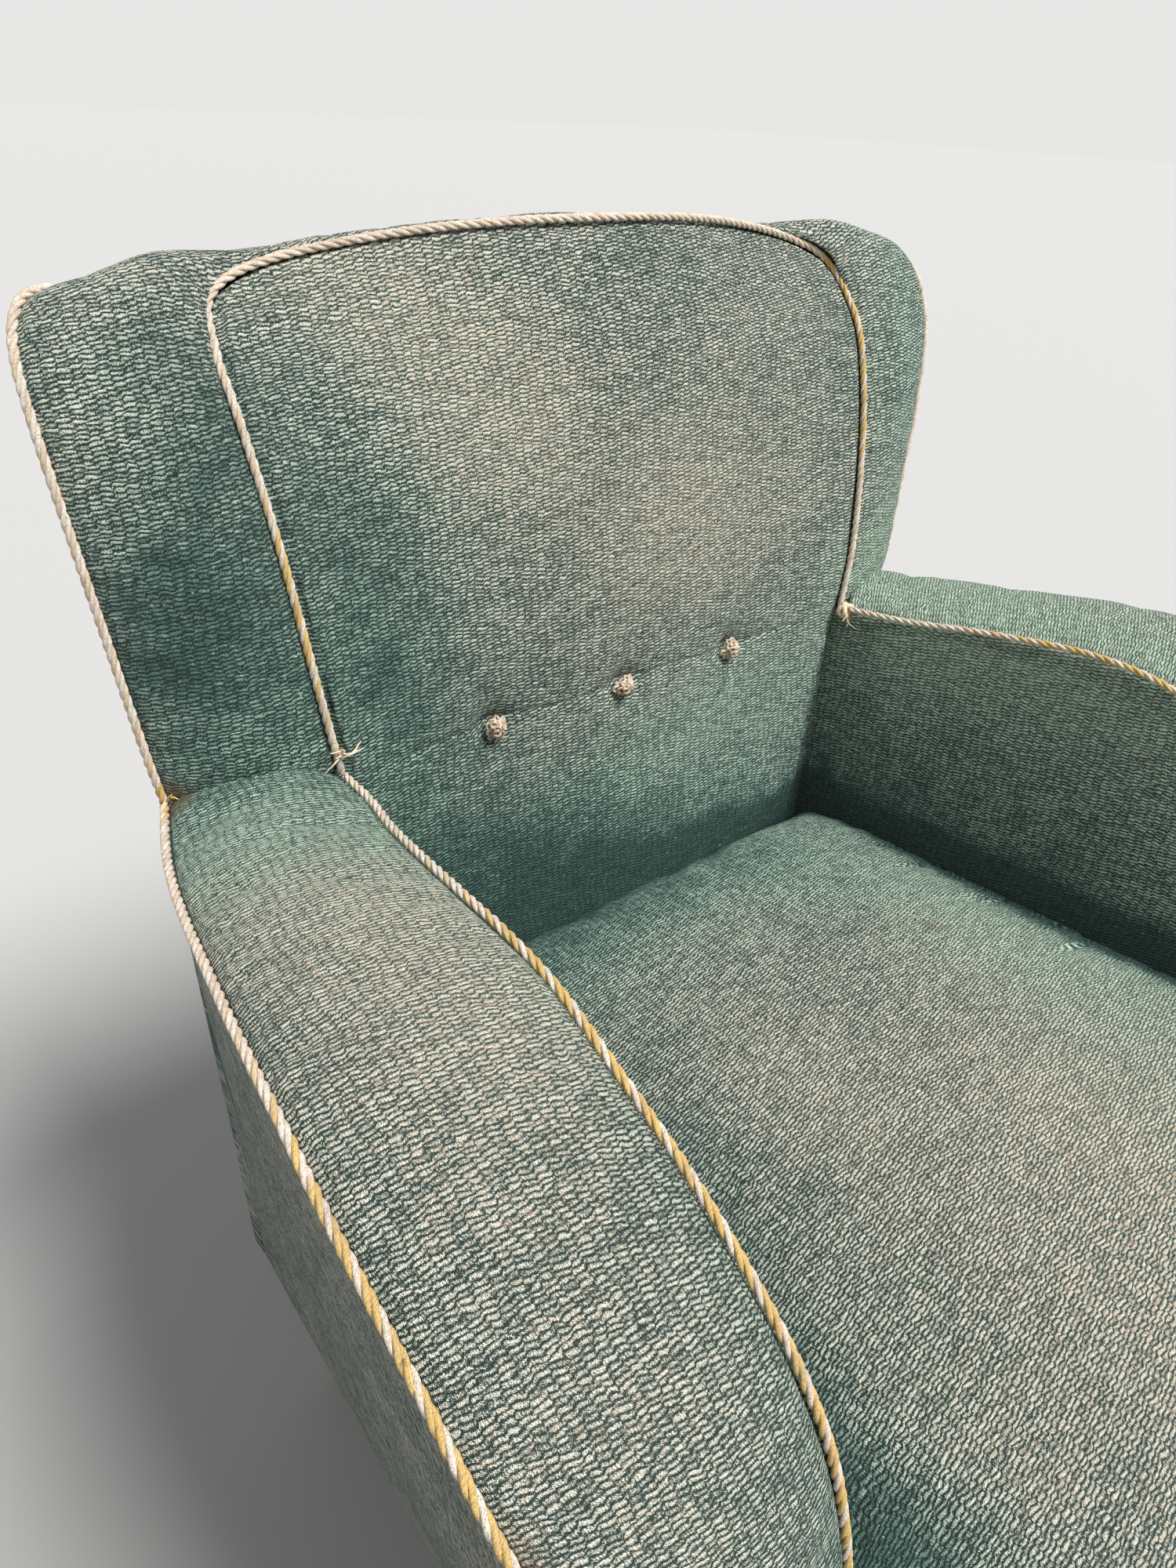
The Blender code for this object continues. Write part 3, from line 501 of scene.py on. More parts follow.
def settled(rows, swell, slack, cap, sewn=(3, 3), tied=0.0):
    """The cover after it has settled over its stuffing: blown out from behind, held along its edges and where tied."""
    lines, columns = sewn
    held = np.zeros(rows.shape[:2])
    held[:lines] = held[-lines:] = held[:, :columns] = held[:, -columns:] = 1
    held = np.maximum(held, np.minimum(1, tied))
    coarse = rows[::2, ::2]
    n, m = coarse.shape[:2]
    behind = coarse - outward(coarse) * STUFFED
    faces, edge = shell(coarse)
    data = bpy.data.meshes.new("settling")
    data.from_pydata(np.concatenate([coarse, behind]).reshape(-1, 3).tolist(), [], faces.tolist())
    body = added("settling", data)
    fixed = body.vertex_groups.new(name="held")
    fixed.add([int(i) for i in edge] + list(range(n * m, 2 * n * m)), 1.0, "REPLACE")
    weights = held[::2, ::2].ravel()
    for i in np.flatnonzero(weights > 0.02):
        fixed.add([int(i)], float(min(1.0, weights[i])), "ADD")
    cloth = body.modifiers.new("cloth", "CLOTH")
    given = cloth.settings
    given.quality = 4
    given.mass = 0.25
    given.tension_stiffness = given.compression_stiffness = given.shear_stiffness = 20
    given.bending_stiffness = 0.8
    given.vertex_group_mass = "held"
    given.shrink_min = -slack
    given.use_pressure = True
    given.uniform_pressure_force = swell
    given.effector_weights.gravity = 0
    for frame_number in range(1, SETTLING + 1):
        bpy.context.scene.frame_set(frame_number)
    moved = body.evaluated_get(bpy.context.evaluated_depsgraph_get()).data
    places = np.zeros(len(moved.vertices) * 3)
    moved.vertices.foreach_get("co", places)
    shift = places.reshape(-1, 3)[: n * m].reshape(n, m, 3) - coarse
    bpy.context.scene.frame_set(1)
    bpy.data.objects.remove(body)
    shift *= np.minimum(1, cap / np.maximum(np.linalg.norm(shift, axis=-1, keepdims=True), 1e-9))
    across = np.arange(rows.shape[1]) / 2
    upward = np.arange(rows.shape[0]) / 2
    wide = np.stack([[np.interp(across, np.arange(m), line[:, c]) for c in range(3)] for line in shift])
    full = [[np.interp(upward, np.arange(n), wide[:, c, j]) for c in range(3)] for j in range(rows.shape[1])]
    return rows + np.transpose(full, (2, 0, 1))


def ribs(rows, way=(1, 0, 0)):
    """Each point's place along ribs that run the given way, and across them, in metres."""
    across = unit(np.cross(outward(rows), way))
    middle = rows.shape[1] // 2
    down = (np.diff(rows, axis=0) * (across[1:] + across[:-1]) / 2).sum(-1)[:, middle]
    side = (np.diff(rows, axis=1) * (across[:, 1:] + across[:, :-1]) / 2).sum(-1)
    over = np.concatenate([np.zeros((len(rows), 1)), np.cumsum(side, axis=1)], axis=1)
    over += np.concatenate([[0], np.cumsum(down)])[:, None] - over[:, middle : middle + 1]
    return rows @ np.array(way, float), over


def ribbed_wool():
    """Green wool with wavy broken ribs, worn pale on the ribs, painted near black between them as shade, with a painted
    highlight on their tops.
    """
    wool = Finish("ribbed_wool", 0.92)
    uv = wool.node("UVMap", {"uv_map": "cloth"}, {})
    along, over, _ = wool.parts(uv)
    stretched = wool.node("VectorMath", {"operation": "MULTIPLY"}, {0: uv, 1: (150, 150, 1)})
    wobble = wool.cloud(stretched, 1.0, 1.0) - 0.5
    across = along / RIB_STEP + (over * 230.0 + wobble * 9.0).sine() * 0.22
    step = across.fraction()
    line = over / RIB_PITCH - (across.floor() + step.rising(0.34, 0.66)) * 0.5 + wobble * 1.2
    crest = (line.fraction() * math.pi).sine()
    bead = (along * (math.tau / RIB_BEAD) + line * 2.2).sine()
    beaded = (across * 0.5 + line.floor() * 0.25).fraction().rising(0.45, 0.55)
    fuzz = wool.cloud(uv, 900.0, 2.0, 0.8) * 0.65 + wool.cloud(uv, 2600.0, 0.0) * 0.35
    cell = wool.node("CombineXYZ", {}, {"X": (across + 0.5).floor(), "Y": line.floor()})
    chance = wool.node("TexWhiteNoise", {"noise_dimensions": "2D"}, {"Vector": cell}, "Value")
    swell = ((across + 0.5).fraction() * math.pi).sine() * 0.34 + 0.66
    height = crest ** 0.9 * swell * (chance * 0.5 + 0.8) * (bead * beaded * 0.16 + 1.0) + (fuzz - 0.5) * 3.4
    # The wear attribute holds real fading together with painted light and painted shade, and so does the fade made from
    # it.
    worn_and_lit, stain, pilled, green = (wool.attribute(name) for name in ("wear_and_light", "stain", "pilled", "green"))
    fleck = wool.cloud(uv, 260.0, 2.0, 0.7)
    fade_and_light = (worn_and_lit + (fleck - 0.5) * 0.45).held()
    crests = wool.ramp(fade_and_light, (0.0, (0.08, 0.17, 0.140)), (0.28, (0.23, 0.35, 0.295)), (0.46, (0.51, 0.56, 0.460)),
                       (0.62, (0.76, 0.74, 0.58)), (0.92, (0.98, 0.87, 0.66)))  # fmt: skip
    # Between the ribs the colour is near black: painted shade where the ribs shadow each other, over the darker unworn
    # green.
    valley_shade = wool.ramp(fade_and_light, (0.0, (0.002, 0.012, 0.009)), (0.40, (0.008, 0.034, 0.028)), (0.9, (0.062, 0.105, 0.088)))
    colour = wool.mix(height.rising(0.28, 1.08), valley_shade, crests)
    # Painted highlight: the tops of the highest ribs turned pale cream where light catches them, more where the wool is
    # worn.
    colour = wool.mix(height.rising(0.68, 1.12) * fade_and_light.rising(0.02, 0.42), colour, (0.96, 0.91, 0.74))
    colour = wool.mix(fleck.rising(0.54, 0.70) * fade_and_light.rising(0.40, 0.80) * 0.6, colour, (0.82, 0.58, 0.45))
    colour = wool.mix(stain.held() * fuzz.rising(0.25, 0.60), colour, (0.27, 0.14, 0.055))
    pills = wool.cloud(uv, 190.0, 1.0).rising(0.66, 0.70) * pilled.held()
    colour = wool.mix(pills * 0.8, colour, (0.03, 0.08, 0.062))
    dust = wool.cloud(uv, 420.0, 0.0).rising(0.80, 0.83)
    colour = wool.mix(dust * 0.6, colour, (0.78, 0.76, 0.70))
    colour = wool.mix(green.held(), colour, (0.74, 1.0, 0.97), "MULTIPLY")
    wool.feed("Base Color", colour)
    wool.bump(height + pills * 0.8, 0.0017, 1.0)
    return wool


WOOL = ribbed_wool()


def thicken(made, thickness):
    thick = made.modifiers.new("cloth", "SOLIDIFY")
    thick.thickness = thickness
    thick.offset = -1


def cover(name, rows, lay, node=None):
    """A wool cover over a grid of points; lay is each point's place along the ribs and across them."""
    made = piece(name, rows.reshape(-1, 3), quads(rows), WOOL)
    corners = np.zeros(len(made.data.loops), int)
    made.data.loops.foreach_get("vertex_index", corners)
    places = np.stack([np.broadcast_to(r, rows.shape[:2]).ravel() for r in lay], -1)
    made.data.uv_layers.new(name="cloth").data.foreach_set("uv", places[corners].ravel())
    flat = rows.reshape(-1, 3)
    # The wear values hold real fading and darkening together with painted light on lit tops and painted shade in the
    # creases.
    for key, table, base in (
        ("wear_and_light", WEAR_AND_PAINTED_LIGHT, 0.325), ("green", GREENER, 0.0), ("stain", STAINED, 0.0), ("pilled", PILLED, 0.0),
    ):  # fmt: skip
        values = base + spots(flat, table)
        if key == "wear_and_light":
            values += [0.08 * noise.noise(Vector(p) * 13) + 0.10 * noise.noise(Vector(p) * 48) for p in flat]
        made.data.attributes.new(key, "FLOAT", "POINT").data.foreach_set("value", values.astype(np.float32))
    thicken(made, CLOTH)
    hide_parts(node or name.replace("wool_", "") + "_cover")
    return made


def packing(name, rows, deep, node):
    """Stuffing between a cover and the grid deep behind it."""
    points = np.concatenate([rows - outward(rows) * UNDER, deep]).reshape(-1, 3)
    made = piece(name, points, shell(rows)[0], HAIR, smooth=False)
    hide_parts(node)


SEAT_REAR = 0.2050
SEAT_HALF = 0.2185
SEAT_FLARE = 0.0935
SEAT_PLAY = 0.0058
SEAT_EDGE = 0.060
SIDE_DEPTHS = (0.003, 0.009, 0.018, 0.028)


def seat_rows(lines, columns):
    """The seat's surface with its sides turned down between the arms."""
    profile = Seam([(crown, y, z) for y, z, crown in SEAT_PROFILE])
    fronts = Seam([(0.0, p[1], p[2]) for p in ARM_INNER[9:]])(np.linspace(0, 1, 240))
    rows = []
    for s in np.linspace(0, 1, lines):
        crown, y, z = profile(s)
        nose = min(1.0, max(0.0, (-y - 0.25) / 0.07)) if z > 0.34 else 1.0
        pull = max(0.0, fronts[np.argmin(abs(fronts[:, 2] - min(z, 0.40)))][1] - 0.009 - y)
        half = SEAT_HALF + (SEAT_REAR - max(y, -0.225)) * SEAT_FLARE - SEAT_PLAY - max(0.0, 0.375 - z) * 0.052
        t = np.sin(np.linspace(-1, 1, columns) * np.pi / 2)
        rise = crown * (1 - t * t)
        round_edge = np.clip((abs(t) * half - half + SEAT_EDGE) / SEAT_EDGE, 0, 1)
        back = pull * (1 - np.sqrt(1 - round_edge**2))
        drop = 0.007 * abs(t) ** 30
        top = np.stack([t * half, y - rise * nose + back, z + rise * (1 - nose) - drop * (1 - nose)], -1)
        turn = np.array([0.0006, nose, nose - 1.0])
        left = [top[0] + turn * (-1, 1, 1) * d for d in SIDE_DEPTHS[::-1]]
        right = [top[-1] + turn * d for d in SIDE_DEPTHS]
        rows.append(np.concatenate([left, top, right])[::-1])
    return np.array(rows)


def seat():
    rows = settled(seat_rows(171, 105), 5.0, 0.012, 0.006, sewn=(4, 5))
    rows = lumpy(rows, 0.09, 0.0016, 3.1)
    u, v = ribs(rows)
    for edge, kept in ((slice(0, 4), 4), (slice(-4, None), -5)):
        away = np.linalg.norm(rows[:, edge] - rows[:, kept, None], axis=-1)
        u[:, edge] = u[:, kept, None] + away * math.copysign(1, kept)
        v[:, edge] = v[:, kept, None]
    made = cover("wool_seat", rows, (u, v), "seat_cover")
    inside = rows[2:-50, 6:-6]
    deep = inside * (0.985, 1, 1)
    deep[..., 1] = np.clip(deep[..., 1], -0.262, 0.176)
    deep[..., 2] = np.minimum(0.3400, deep[..., 2] + 0.004)
    packing("seat_packing", inside, deep, "seat_stuffing")


seat()

# --------------------
# Inside back. A wool cover over stuffing, hollowed by use and pulled in along a stitched line at three tufts.
# It is tucked behind the seat at its foot and sewn to the corded seam at its sides and crest.

TUFTS = ((-0.1105, 0.551), (0.0, 0.551), (0.1105, 0.551))


def patch(foot, head, left, right, across, up, crown, trim, power=0.8):
    """A four-sided panel between seams, raised by crown in the middle."""
    corners = foot(0), foot(1), head(0), head(1)
    eu = trim / np.linalg.norm(corners[1] - corners[0])
    ev = trim / np.linalg.norm(left(1) - left(0))

    def at(u, v):
        flat = foot(u) * (1 - v[..., None]) + head(u) * v[..., None]
        flat += left(v) * (1 - u[..., None]) + right(v) * u[..., None]
        bends = ((1 - u) * (1 - v), u * (1 - v), (1 - u) * v, u * v)
        return flat - sum(c * b[..., None] for c, b in zip(corners, bends))

    u, v = np.meshgrid(eu + (1 - 2 * eu) * np.asarray(across), ev + (1 - 2 * ev) * np.asarray(up))
    normal = unit(np.cross(at(u + 0.01, v) - at(u - 0.01, v), at(u, v + 0.01) - at(u, v - 0.01)))
    return at(u, v) + normal * (crown * (np.sin(np.pi * u) * np.sin(np.pi * v)) ** power)[..., None]


def back_side(points, corner, foot):
    """A panel's side seam from its foot; the extra point keeps the straight part straight."""
    first, foot_point, step = Vector(points[0]), Vector(foot), (Vector(points[1]) - Vector(points[0])).length
    return Seam([foot, first + (foot_point - first).normalized() * step, *points[: corner + 1]])


def run_on(rows, lay, out, turn):
    """The grid with two columns more at each side: out to meet the next cover, then turned in out of sight."""
    across, along = lay
    first, last = rows[:, :1], rows[:, -1:]
    step = np.sign(across[:, -1:] - across[:, :1]) * out
    near = first + np.sign(first[..., :1]) * out[..., None] * (1, 0, 0)
    far = last + np.sign(last[..., :1]) * out[..., None] * (1, 0, 0)
    low, high = across[:, :1] - step, across[:, -1:] + step
    lay = np.concatenate([low, low, across, high, high], axis=1), np.pad(along, ((0, 0), (2, 2)), "edge")
    return np.concatenate([near + turn, near, rows, far, far + turn], axis=1), lay


def back_edges(points, corner, foot, middle):
    """A back panel's four seams: foot, crest, left and right."""
    (left_foot,), crest = other_side([foot]), points[corner:]
    return (
        Seam([left_foot, middle, foot]),
        Seam([*other_side(crest)[:-1], *reversed(crest)]),
        back_side(other_side(points), corner, left_foot),
        back_side(points, corner, foot),
    )


def eased(count):
    """Shares from 0 to 1, closer together near both ends."""
    t = np.linspace(0, 1, count)
    return t - 0.11 * np.sin(2 * np.pi * t)


def inside_back():
    shares = eased(105), np.sort(np.concatenate([eased(93), np.linspace(0.374, 0.436, 32)]))
    plain = patch(*back_edges(BACK_INNER, 5, BACK_FOOT, BACK_FOOT_MIDDLE), *shares, -0.024, 0.0016)
    x, z = plain[..., 0], plain[..., 2]
    tuft = sum(np.exp(-((x - a) ** 2 + (z - b) ** 2) / 0.0105**2) for a, b in TUFTS)
    pull = sum(np.exp(-((x - a) ** 2) / 0.045**2 - ((z - b) / 0.014) ** 2) for a, b in TUFTS)
    crease = np.exp(-(((z - 0.553 - 0.0012 * np.sin(x * 40)) / 0.0020) ** 2)) * np.clip((0.205 - abs(x)) / 0.03, 0, 1)
    rows = settled(plain, 4.0, 0.010, 0.004, tied=tuft)
    rows = rows - outward(plain) * (0.0050 * tuft + 0.0018 * pull + 0.0011 * crease)[..., None]
    low = np.clip((0.570 - rows[..., 2]) / 0.02, 0, 1)
    rows = tucked(lumpy(rows, 0.075, 0.0014, 7.7), "lrh", 0.0028 + 0.003 * low)
    low, height = low[:, :1], rows[:, :1, 2]
    arm = np.interp(height, (INSIDE_ARM_FOOT[2], INSIDE_ARM_HEAD[2]), (INSIDE_ARM_FOOT[0], INSIDE_ARM_HEAD[0]))
    out = np.maximum((arm + 0.003 - abs(rows[:, :1, 0])) * low, 0.0003)
    wide, lay = run_on(rows, ribs(plain), out, (low * 0.030 + 0.001)[..., None] * (0, 1, 0))
    made = cover("wool_inside_back", wide, lay, "inside_back_cover")
    inside = rows[4:-6, 6:-6]
    packing("back_packing", inside, plain[4:-6, 6:-6] - outward(plain)[4:-6, 6:-6] * (UNDER + 0.016), "back_stuffing")


inside_back()

# --------------------
# Back border. One strip of the same wool from the left arm over the crest to the right arm.
# It is lightly padded and fullest at the two upper corners.


def strip(first, second, along, across, crown, trim):
    """A strip between two seams, raised by crown between them."""
    s = np.asarray(along)[:, None]
    a, b = first(s), second(s)
    ahead = first(s + 0.01) - first(s - 0.01) + second(s + 0.01) - second(s - 0.01)
    normal = unit(np.cross(b - a, ahead))
    edge = trim / np.linalg.norm(b - a, axis=-1, keepdims=True)
    inside = edge + (1 - 2 * edge) * np.asarray(across)[None, :, None]
    return a + (b - a) * inside + normal * crown(s)[..., None] * np.sin(np.pi * inside) ** 0.8


def back_border():
    crown = lambda s: 0.008 + 0.007 * np.maximum(0, np.sin(np.pi * s)) ** 2
    near, far = whole(BACK_INNER), whole(BACK_OUTER)
    plain = strip(near, far, np.linspace(0.002, 0.998, 321), eased(27), crown, 0.0004)
    x, y, z = plain[..., 0], plain[..., 1], plain[..., 2]
    middle, wide, high = np.where(x > 0, [[[0.265]], [[0.065]], [[0.0115]]], [[[0.275]], [[0.036]], [[0.0060]]])
    full = np.exp(-(((abs(x) - middle) / wide) ** 2) - ((y - 0.288) / 0.028) ** 2) * np.clip((z - 0.76) / 0.05, 0, 1)
    rows = plain + outward(plain) * (high * full)[..., None]
    rows = tucked(lumpy(settled(rows, 3.0, 0.006, 0.003), 0.06, 0.0013, 1.3), "lr")
    made = cover("wool_back_border", rows, ribs(plain), "back_border_cover")
    inside = rows[8:-8, 4:-4]
    deep = plain[8:-8, 4:-4] - outward(plain)[8:-8, 4:-4] * (UNDER + 0.006)
    packing("border_packing", inside, deep, "back_border_padding")


back_border()

# --------------------
# Arm tops. A strip on each arm from the back over the shoulder and down the front to the hem, padded with hair.
# The ribs run across the arm.


def mirrored(rows, side):
    """A grid made for the right side, or the same for the left."""
    return rows if side == "right" else (rows * (-1, 1, 1))[:, ::-1]


def arm_tops():
    near, far = Seam(ARM_INNER), Seam(ARM_OUTER)
    for side, seed, fullness in (("left", 5.2, 0.012), ("right", 9.4, 0.018)):
        plain = strip(far, near, np.linspace(0.004, 1.0, 181), eased(35), lambda s: fullness + 0 * s, 0.0014)
        plain = mirrored(plain, side)
        rows = tucked(lumpy(settled(plain, 4.0, 0.008, 0.003), 0.07, 0.0015, seed), "lr")
        width = run(plain, 1)
        made = cover(f"wool_{side}_arm_top", rows, (width - width[:, -1:] / 2, run(plain, 0)[:, 17:18] + seed))
        lines = np.flatnonzero(plain[:, 0, 2] > 0.2585)[:-1]
        inside, deep = rows[lines][3:, 5:-5], (plain - outward(plain) * (UNDER + 0.014))[lines][3:, 5:-5]
        packing(f"{side}_arm_packing", inside, deep, f"{side}_arm_padding")


arm_tops()

# --------------------
# Side and rear panels. Flat pieces of the same wool stretched over the inside and outside of each arm and the back.
# They are tacked to the rails at their foot and sewn to the corded seams; on the arms the ribs run front to back.

PANEL_INSET = 0.0022


def inset(points, distance):
    """Seam points moved sideways into an arm's panel."""
    p = np.array(points, float)
    ahead = p[np.minimum(np.arange(len(p)) + 1, len(p) - 1)] - p[np.maximum(np.arange(len(p)) - 1, 0)]
    return [tuple(q) for q in p + unit(np.cross((1, 0, 0), ahead)) * distance]


def panel(name, rows, lay):
    made = cover(name, rows, lay)


def arm_panels():
    seam = [INSIDE_ARM_HEAD, *inset(ARM_INNER[1:], PANEL_INSET)]
    head, front, rear = Seam(seam[:11]), Seam(seam[14:9:-1]), Seam([INSIDE_ARM_FOOT, INSIDE_ARM_HEAD])
    inside = patch(Seam([rear(0), front(0)]), head, rear, front, np.linspace(0, 1, 75), eased(49), 0.002, 0)
    seam = inset(ARM_OUTER, PANEL_INSET)
    head, front, rear = Seam(seam[11::-1]), Seam(seam[:10:-1]), Seam([REAR_FOOT, seam[0]])
    outside = patch(Seam([front(0), rear(0)]), head, front, rear, np.linspace(0, 1, 75), eased(61), 0.004, 0)
    for side in SIGNS:
        for place, grid, lumps, flat, area, rail in (
            ("inside", inside, (0.08, 0.0010, 2.2), (0.47, 0.29), 0.114, "arm_tack_rail"),
            ("outside", outside, (0.11, 0.0012, 4.4), (0.53, 0.41), 0.185, "seat_rail"),
        ):
            plain = mirrored(grid, side)
            rows = tucked(lumpy(plain, *lumps), "h", 0.003)
            panel(f"wool_{place}_{side}_arm", rows, ribs(plain, (0, 1, 0)))


def outside_back():
    edges = back_edges(BACK_OUTER, 7, REAR_FOOT, REAR_FOOT_MIDDLE)
    rows = patch(*edges, np.linspace(1, 0, 101), eased(101), -0.036, 0.0030, 0.6)
    lay = ribs(rows)
    low = np.clip((0.562 - rows[..., 2]) / 0.012, 0, 1)
    rows = tucked(lumpy(rows, 0.12, 0.0014, 6.6), "lrh", 0.003 - 0.0018 * low)
    low = low[:, :1]
    rows, lay = run_on(rows, lay, 0.0003 + 0.0045 * low, (low * -0.012 - 0.001)[..., None] * (0, 1, 0))
    panel("wool_outside_back", rows, lay)


arm_panels()
outside_back()

# --------------------
# Cords. Three strands of cream and ochre cotton twisted together and sewn into every seam with a needle.
# They are soiled; one end is frayed, one is knotted, one is worn, and a few threads have come away.

CORD_TWIST = 0.021
CORD_STEP = 0.0021
PLY_RADIUS = 0.00130
PLY_OFFSET = 0.00130
YARN_TWIST = 0.0070
# Where the ochre strands have kept their colour, in the same way as the wool's table of wear and painted light and
# shade.
OCHRE = (
    ((-245, 230, 650), (30, 60, 70), 90), ((250, 265, 760), (50, 60, 80), 80), ((-265, -80, 560), (30, 150, 80), 100),
    ((-395, -120, 530), (30, 140, 100), 90), ((262, 0, 580), (30, 130, 60), 80),
    ((-265, -220, 400), (40, 80, 200), 70), ((265, -220, 400), (40, 80, 200), 70), ((228, 200, 558), (10, 20, 10), 35),
    ((250, 240, 740), (20, 60, 110), 60), ((-322, 240, 560), (15, 20, 15), 80), ((-330, 235, 600), (30, 50, 40), 30),
)  # fmt: skip


def twisted_cord():
    """A geometry tree that lays three strands round a line."""
    tree = bpy.data.node_groups.new("twisted_cord", "GeometryNodeTree")
    tree.is_modifier = True
    for name in ("Geometry", "Twist", "Step", "Strand", "Offset", "Finish"):
        kind = {"Geometry": "Geometry", "Finish": "Material"}.get(name, "Float")
        tree.interface.new_socket(name, in_out="INPUT", socket_type="NodeSocket" + kind)
    tree.interface.new_socket("Geometry", in_out="OUTPUT", socket_type="NodeSocketGeometry")
    given = tree.nodes.new("NodeGroupInput").outputs

    def node(kind, inputs=(), output=0, **settings):
        made = tree.nodes.new(kind)
        for key, value in settings.items():
            setattr(made, key, value)
        for key, value in dict(inputs).items():
            if isinstance(value, bpy.types.NodeSocket):
                tree.links.new(value, made.inputs[key])
            else:
                made.inputs[key].default_value = value
        return made.outputs[output]

    def maths(operation, first, second=0.0):
        return node("ShaderNodeMath", {0: first, 1: second}, operation=operation)

    def scaled(vector, scale):
        return node("ShaderNodeVectorMath", {0: vector, "Scale": scale}, operation="SCALE")

    def stored(geometry, name, value, kind="FLOAT"):
        inputs = {"Geometry": geometry, "Name": name, "Value": value}
        return node("GeometryNodeStoreNamedAttribute", inputs, data_type=kind)

    line = {"Curve": given["Geometry"], "Length": given["Step"]}
    line = node("GeometryNodeResampleCurve", line, mode="LENGTH")
    length = node("GeometryNodeSplineParameter", output="Length")
    line = stored(line, "run", length)
    side, ahead = node("GeometryNodeInputNormal"), node("GeometryNodeInputTangent")
    other = node("ShaderNodeVectorMath", {0: ahead, 1: side}, operation="CROSS_PRODUCT")
    uneven = node("ShaderNodeTexNoise", {"Scale": 300.0, "Detail": 1.0})
    strands = node("GeometryNodeJoinGeometry")
    for k in range(3):
        turn = maths("ADD", maths("MULTIPLY", maths("DIVIDE", length, given["Twist"]), math.tau), k * math.tau / 3)
        way = {0: scaled(side, maths("COSINE", turn)), 1: scaled(other, maths("SINE", turn))}
        shift = scaled(node("ShaderNodeVectorMath", way, operation="ADD"), given["Offset"])
        laid = node("GeometryNodeSetPosition", {"Geometry": line, "Offset": shift})
        thick = maths("MULTIPLY", given["Strand"], maths("ADD", maths("MULTIPLY", uneven, 0.36), 0.82))
        laid = stored(laid, "ply", float(k))
        ring = node("GeometryNodeCurvePrimitiveCircle", {"Resolution": 8, "Radius": 1.0})
        ring = stored(ring, "round", node("GeometryNodeInputPosition"), "FLOAT_VECTOR")
        solid = {"Curve": laid, "Profile Curve": ring, "Scale": thick, "Fill Caps": True}
        tree.links.new(node("GeometryNodeCurveToMesh", solid), strands.node.inputs[0])
    smooth = node("GeometryNodeSetShadeSmooth", {"Geometry": strands})
    real = node("GeometryNodeRealizeInstances", {"Geometry": smooth})
    done = node("GeometryNodeSetMaterial", {"Geometry": real, "Material": given["Finish"]})
    tree.links.new(done, tree.nodes.new("NodeGroupOutput").inputs[0])
    return tree


def cotton():
    """Cream and ochre strands, greyed by handling."""
    yarn = Finish("soiled_cotton", 0.9)
    ply, run, here = yarn.attribute("ply"), yarn.attribute("run"), yarn.place()
    patchy = yarn.attribute("ochre") + yarn.cloud(here, 30.0, 2.0) * 0.5 - 0.25
    ochre = yarn.mix(patchy.rising(0.15, 0.60), (0.76, 0.62, 0.46), (0.76, 0.51, 0.17))
    pale = yarn.mix(yarn.cloud(here, 70.0, 2.0).rising(0.4, 0.65), (0.88, 0.72, 0.60), (0.82, 0.77, 0.65))
    both = ply.math("COMPARE", 1.0, 0.5) * patchy.rising(0.60, 0.64)
    colour = yarn.mix((ply.math("COMPARE", 0.0, 0.5) + both).held(), pale, ochre)
    turned = {"Vector": yarn.attribute("round", "Vector"), "Angle": run * (-math.tau / YARN_TWIST)}
    turned = yarn.node("VectorRotate", {"rotation_type": "Z_AXIS"}, turned)
    ahead = yarn.node("CombineXYZ", {}, {"Z": run * 160.0})
    spun = yarn.node("VectorMath", {"operation": "ADD"}, {0: turned, 1: ahead})
    fibres = yarn.cloud(spun, 3.2, 2.0, 0.7) * 0.7 + yarn.cloud(here, 1400.0, 2.0, 0.7) * 0.3
    soil = yarn.cloud(here, 45.0, 4.0, 0.6).rising(0.48, 0.72)
    colour = yarn.mix(soil * 0.40, colour, (0.36, 0.31, 0.24))
    # Painted shade: the low fibres darkened to brown, where shade falls in the grooves between them.
    colour = yarn.mix(fibres.rising(0.52, 0.40) * 0.8, colour, (0.34, 0.24, 0.15))
    yarn.feed("Base Color", colour)
    yarn.bump(fibres, 0.0016)
    return yarn


def tube(path, radius, sides=6):
    """A thin yarn along points, as corner points and faces."""
    p = np.asarray(path, float)
    ahead = unit(np.gradient(p, axis=0))
    side = unit(np.cross(ahead, (0.31, 0.52, 0.79)))
    for k in range(1, len(p)):
        side[k] = unit(side[k - 1] - ahead[k] * np.dot(side[k - 1], ahead[k]))
    other = np.cross(ahead, side)
    turn = np.linspace(0, math.tau, sides, endpoint=False)
    radii = np.broadcast_to(radius, len(p))[:, None, None]
    turns = np.cos(turn)[None, :, None] * side[:, None] + np.sin(turn)[None, :, None] * other[:, None]
    return (p[:, None] + radii * turns).reshape(-1, 3), tube_faces(len(p), sides)


def together(parts):
    """Several sets of points and faces as one."""
    points, faces, start = [], [], 0
    for some, sides in parts:
        points.append(some)
        faces += [tuple(k + start for k in face) for face in sides]
        start += len(some)
    return np.concatenate(points), faces


def loose_thread(points, radius=0.0004):
    return tube(Seam(points)(np.linspace(0, 1, 14)), np.linspace(radius, radius * 0.6, 14), 5)


def bunch(rng, start, lean, rise, radius, threads, scatter=0.0, sag=0.0):
    """Loose threads from one place, leaning to the front; each has the angle it leaves at and its length."""
    made = []
    for way, length in threads:
        begin = np.array(start)
        if scatter:
            begin[2] += rng.uniform(-scatter, scatter)
        out = np.array((math.cos(way), lean, math.sin(way) * rise))
        bend = rng.uniform(-0.4, 0.4, 3) * length
        made.append(loose_thread([begin, begin + out * length / 2 - (0, sag, 0), begin + out * length + bend], radius))
    return made


TWIST = twisted_cord()
COTTON = cotton()


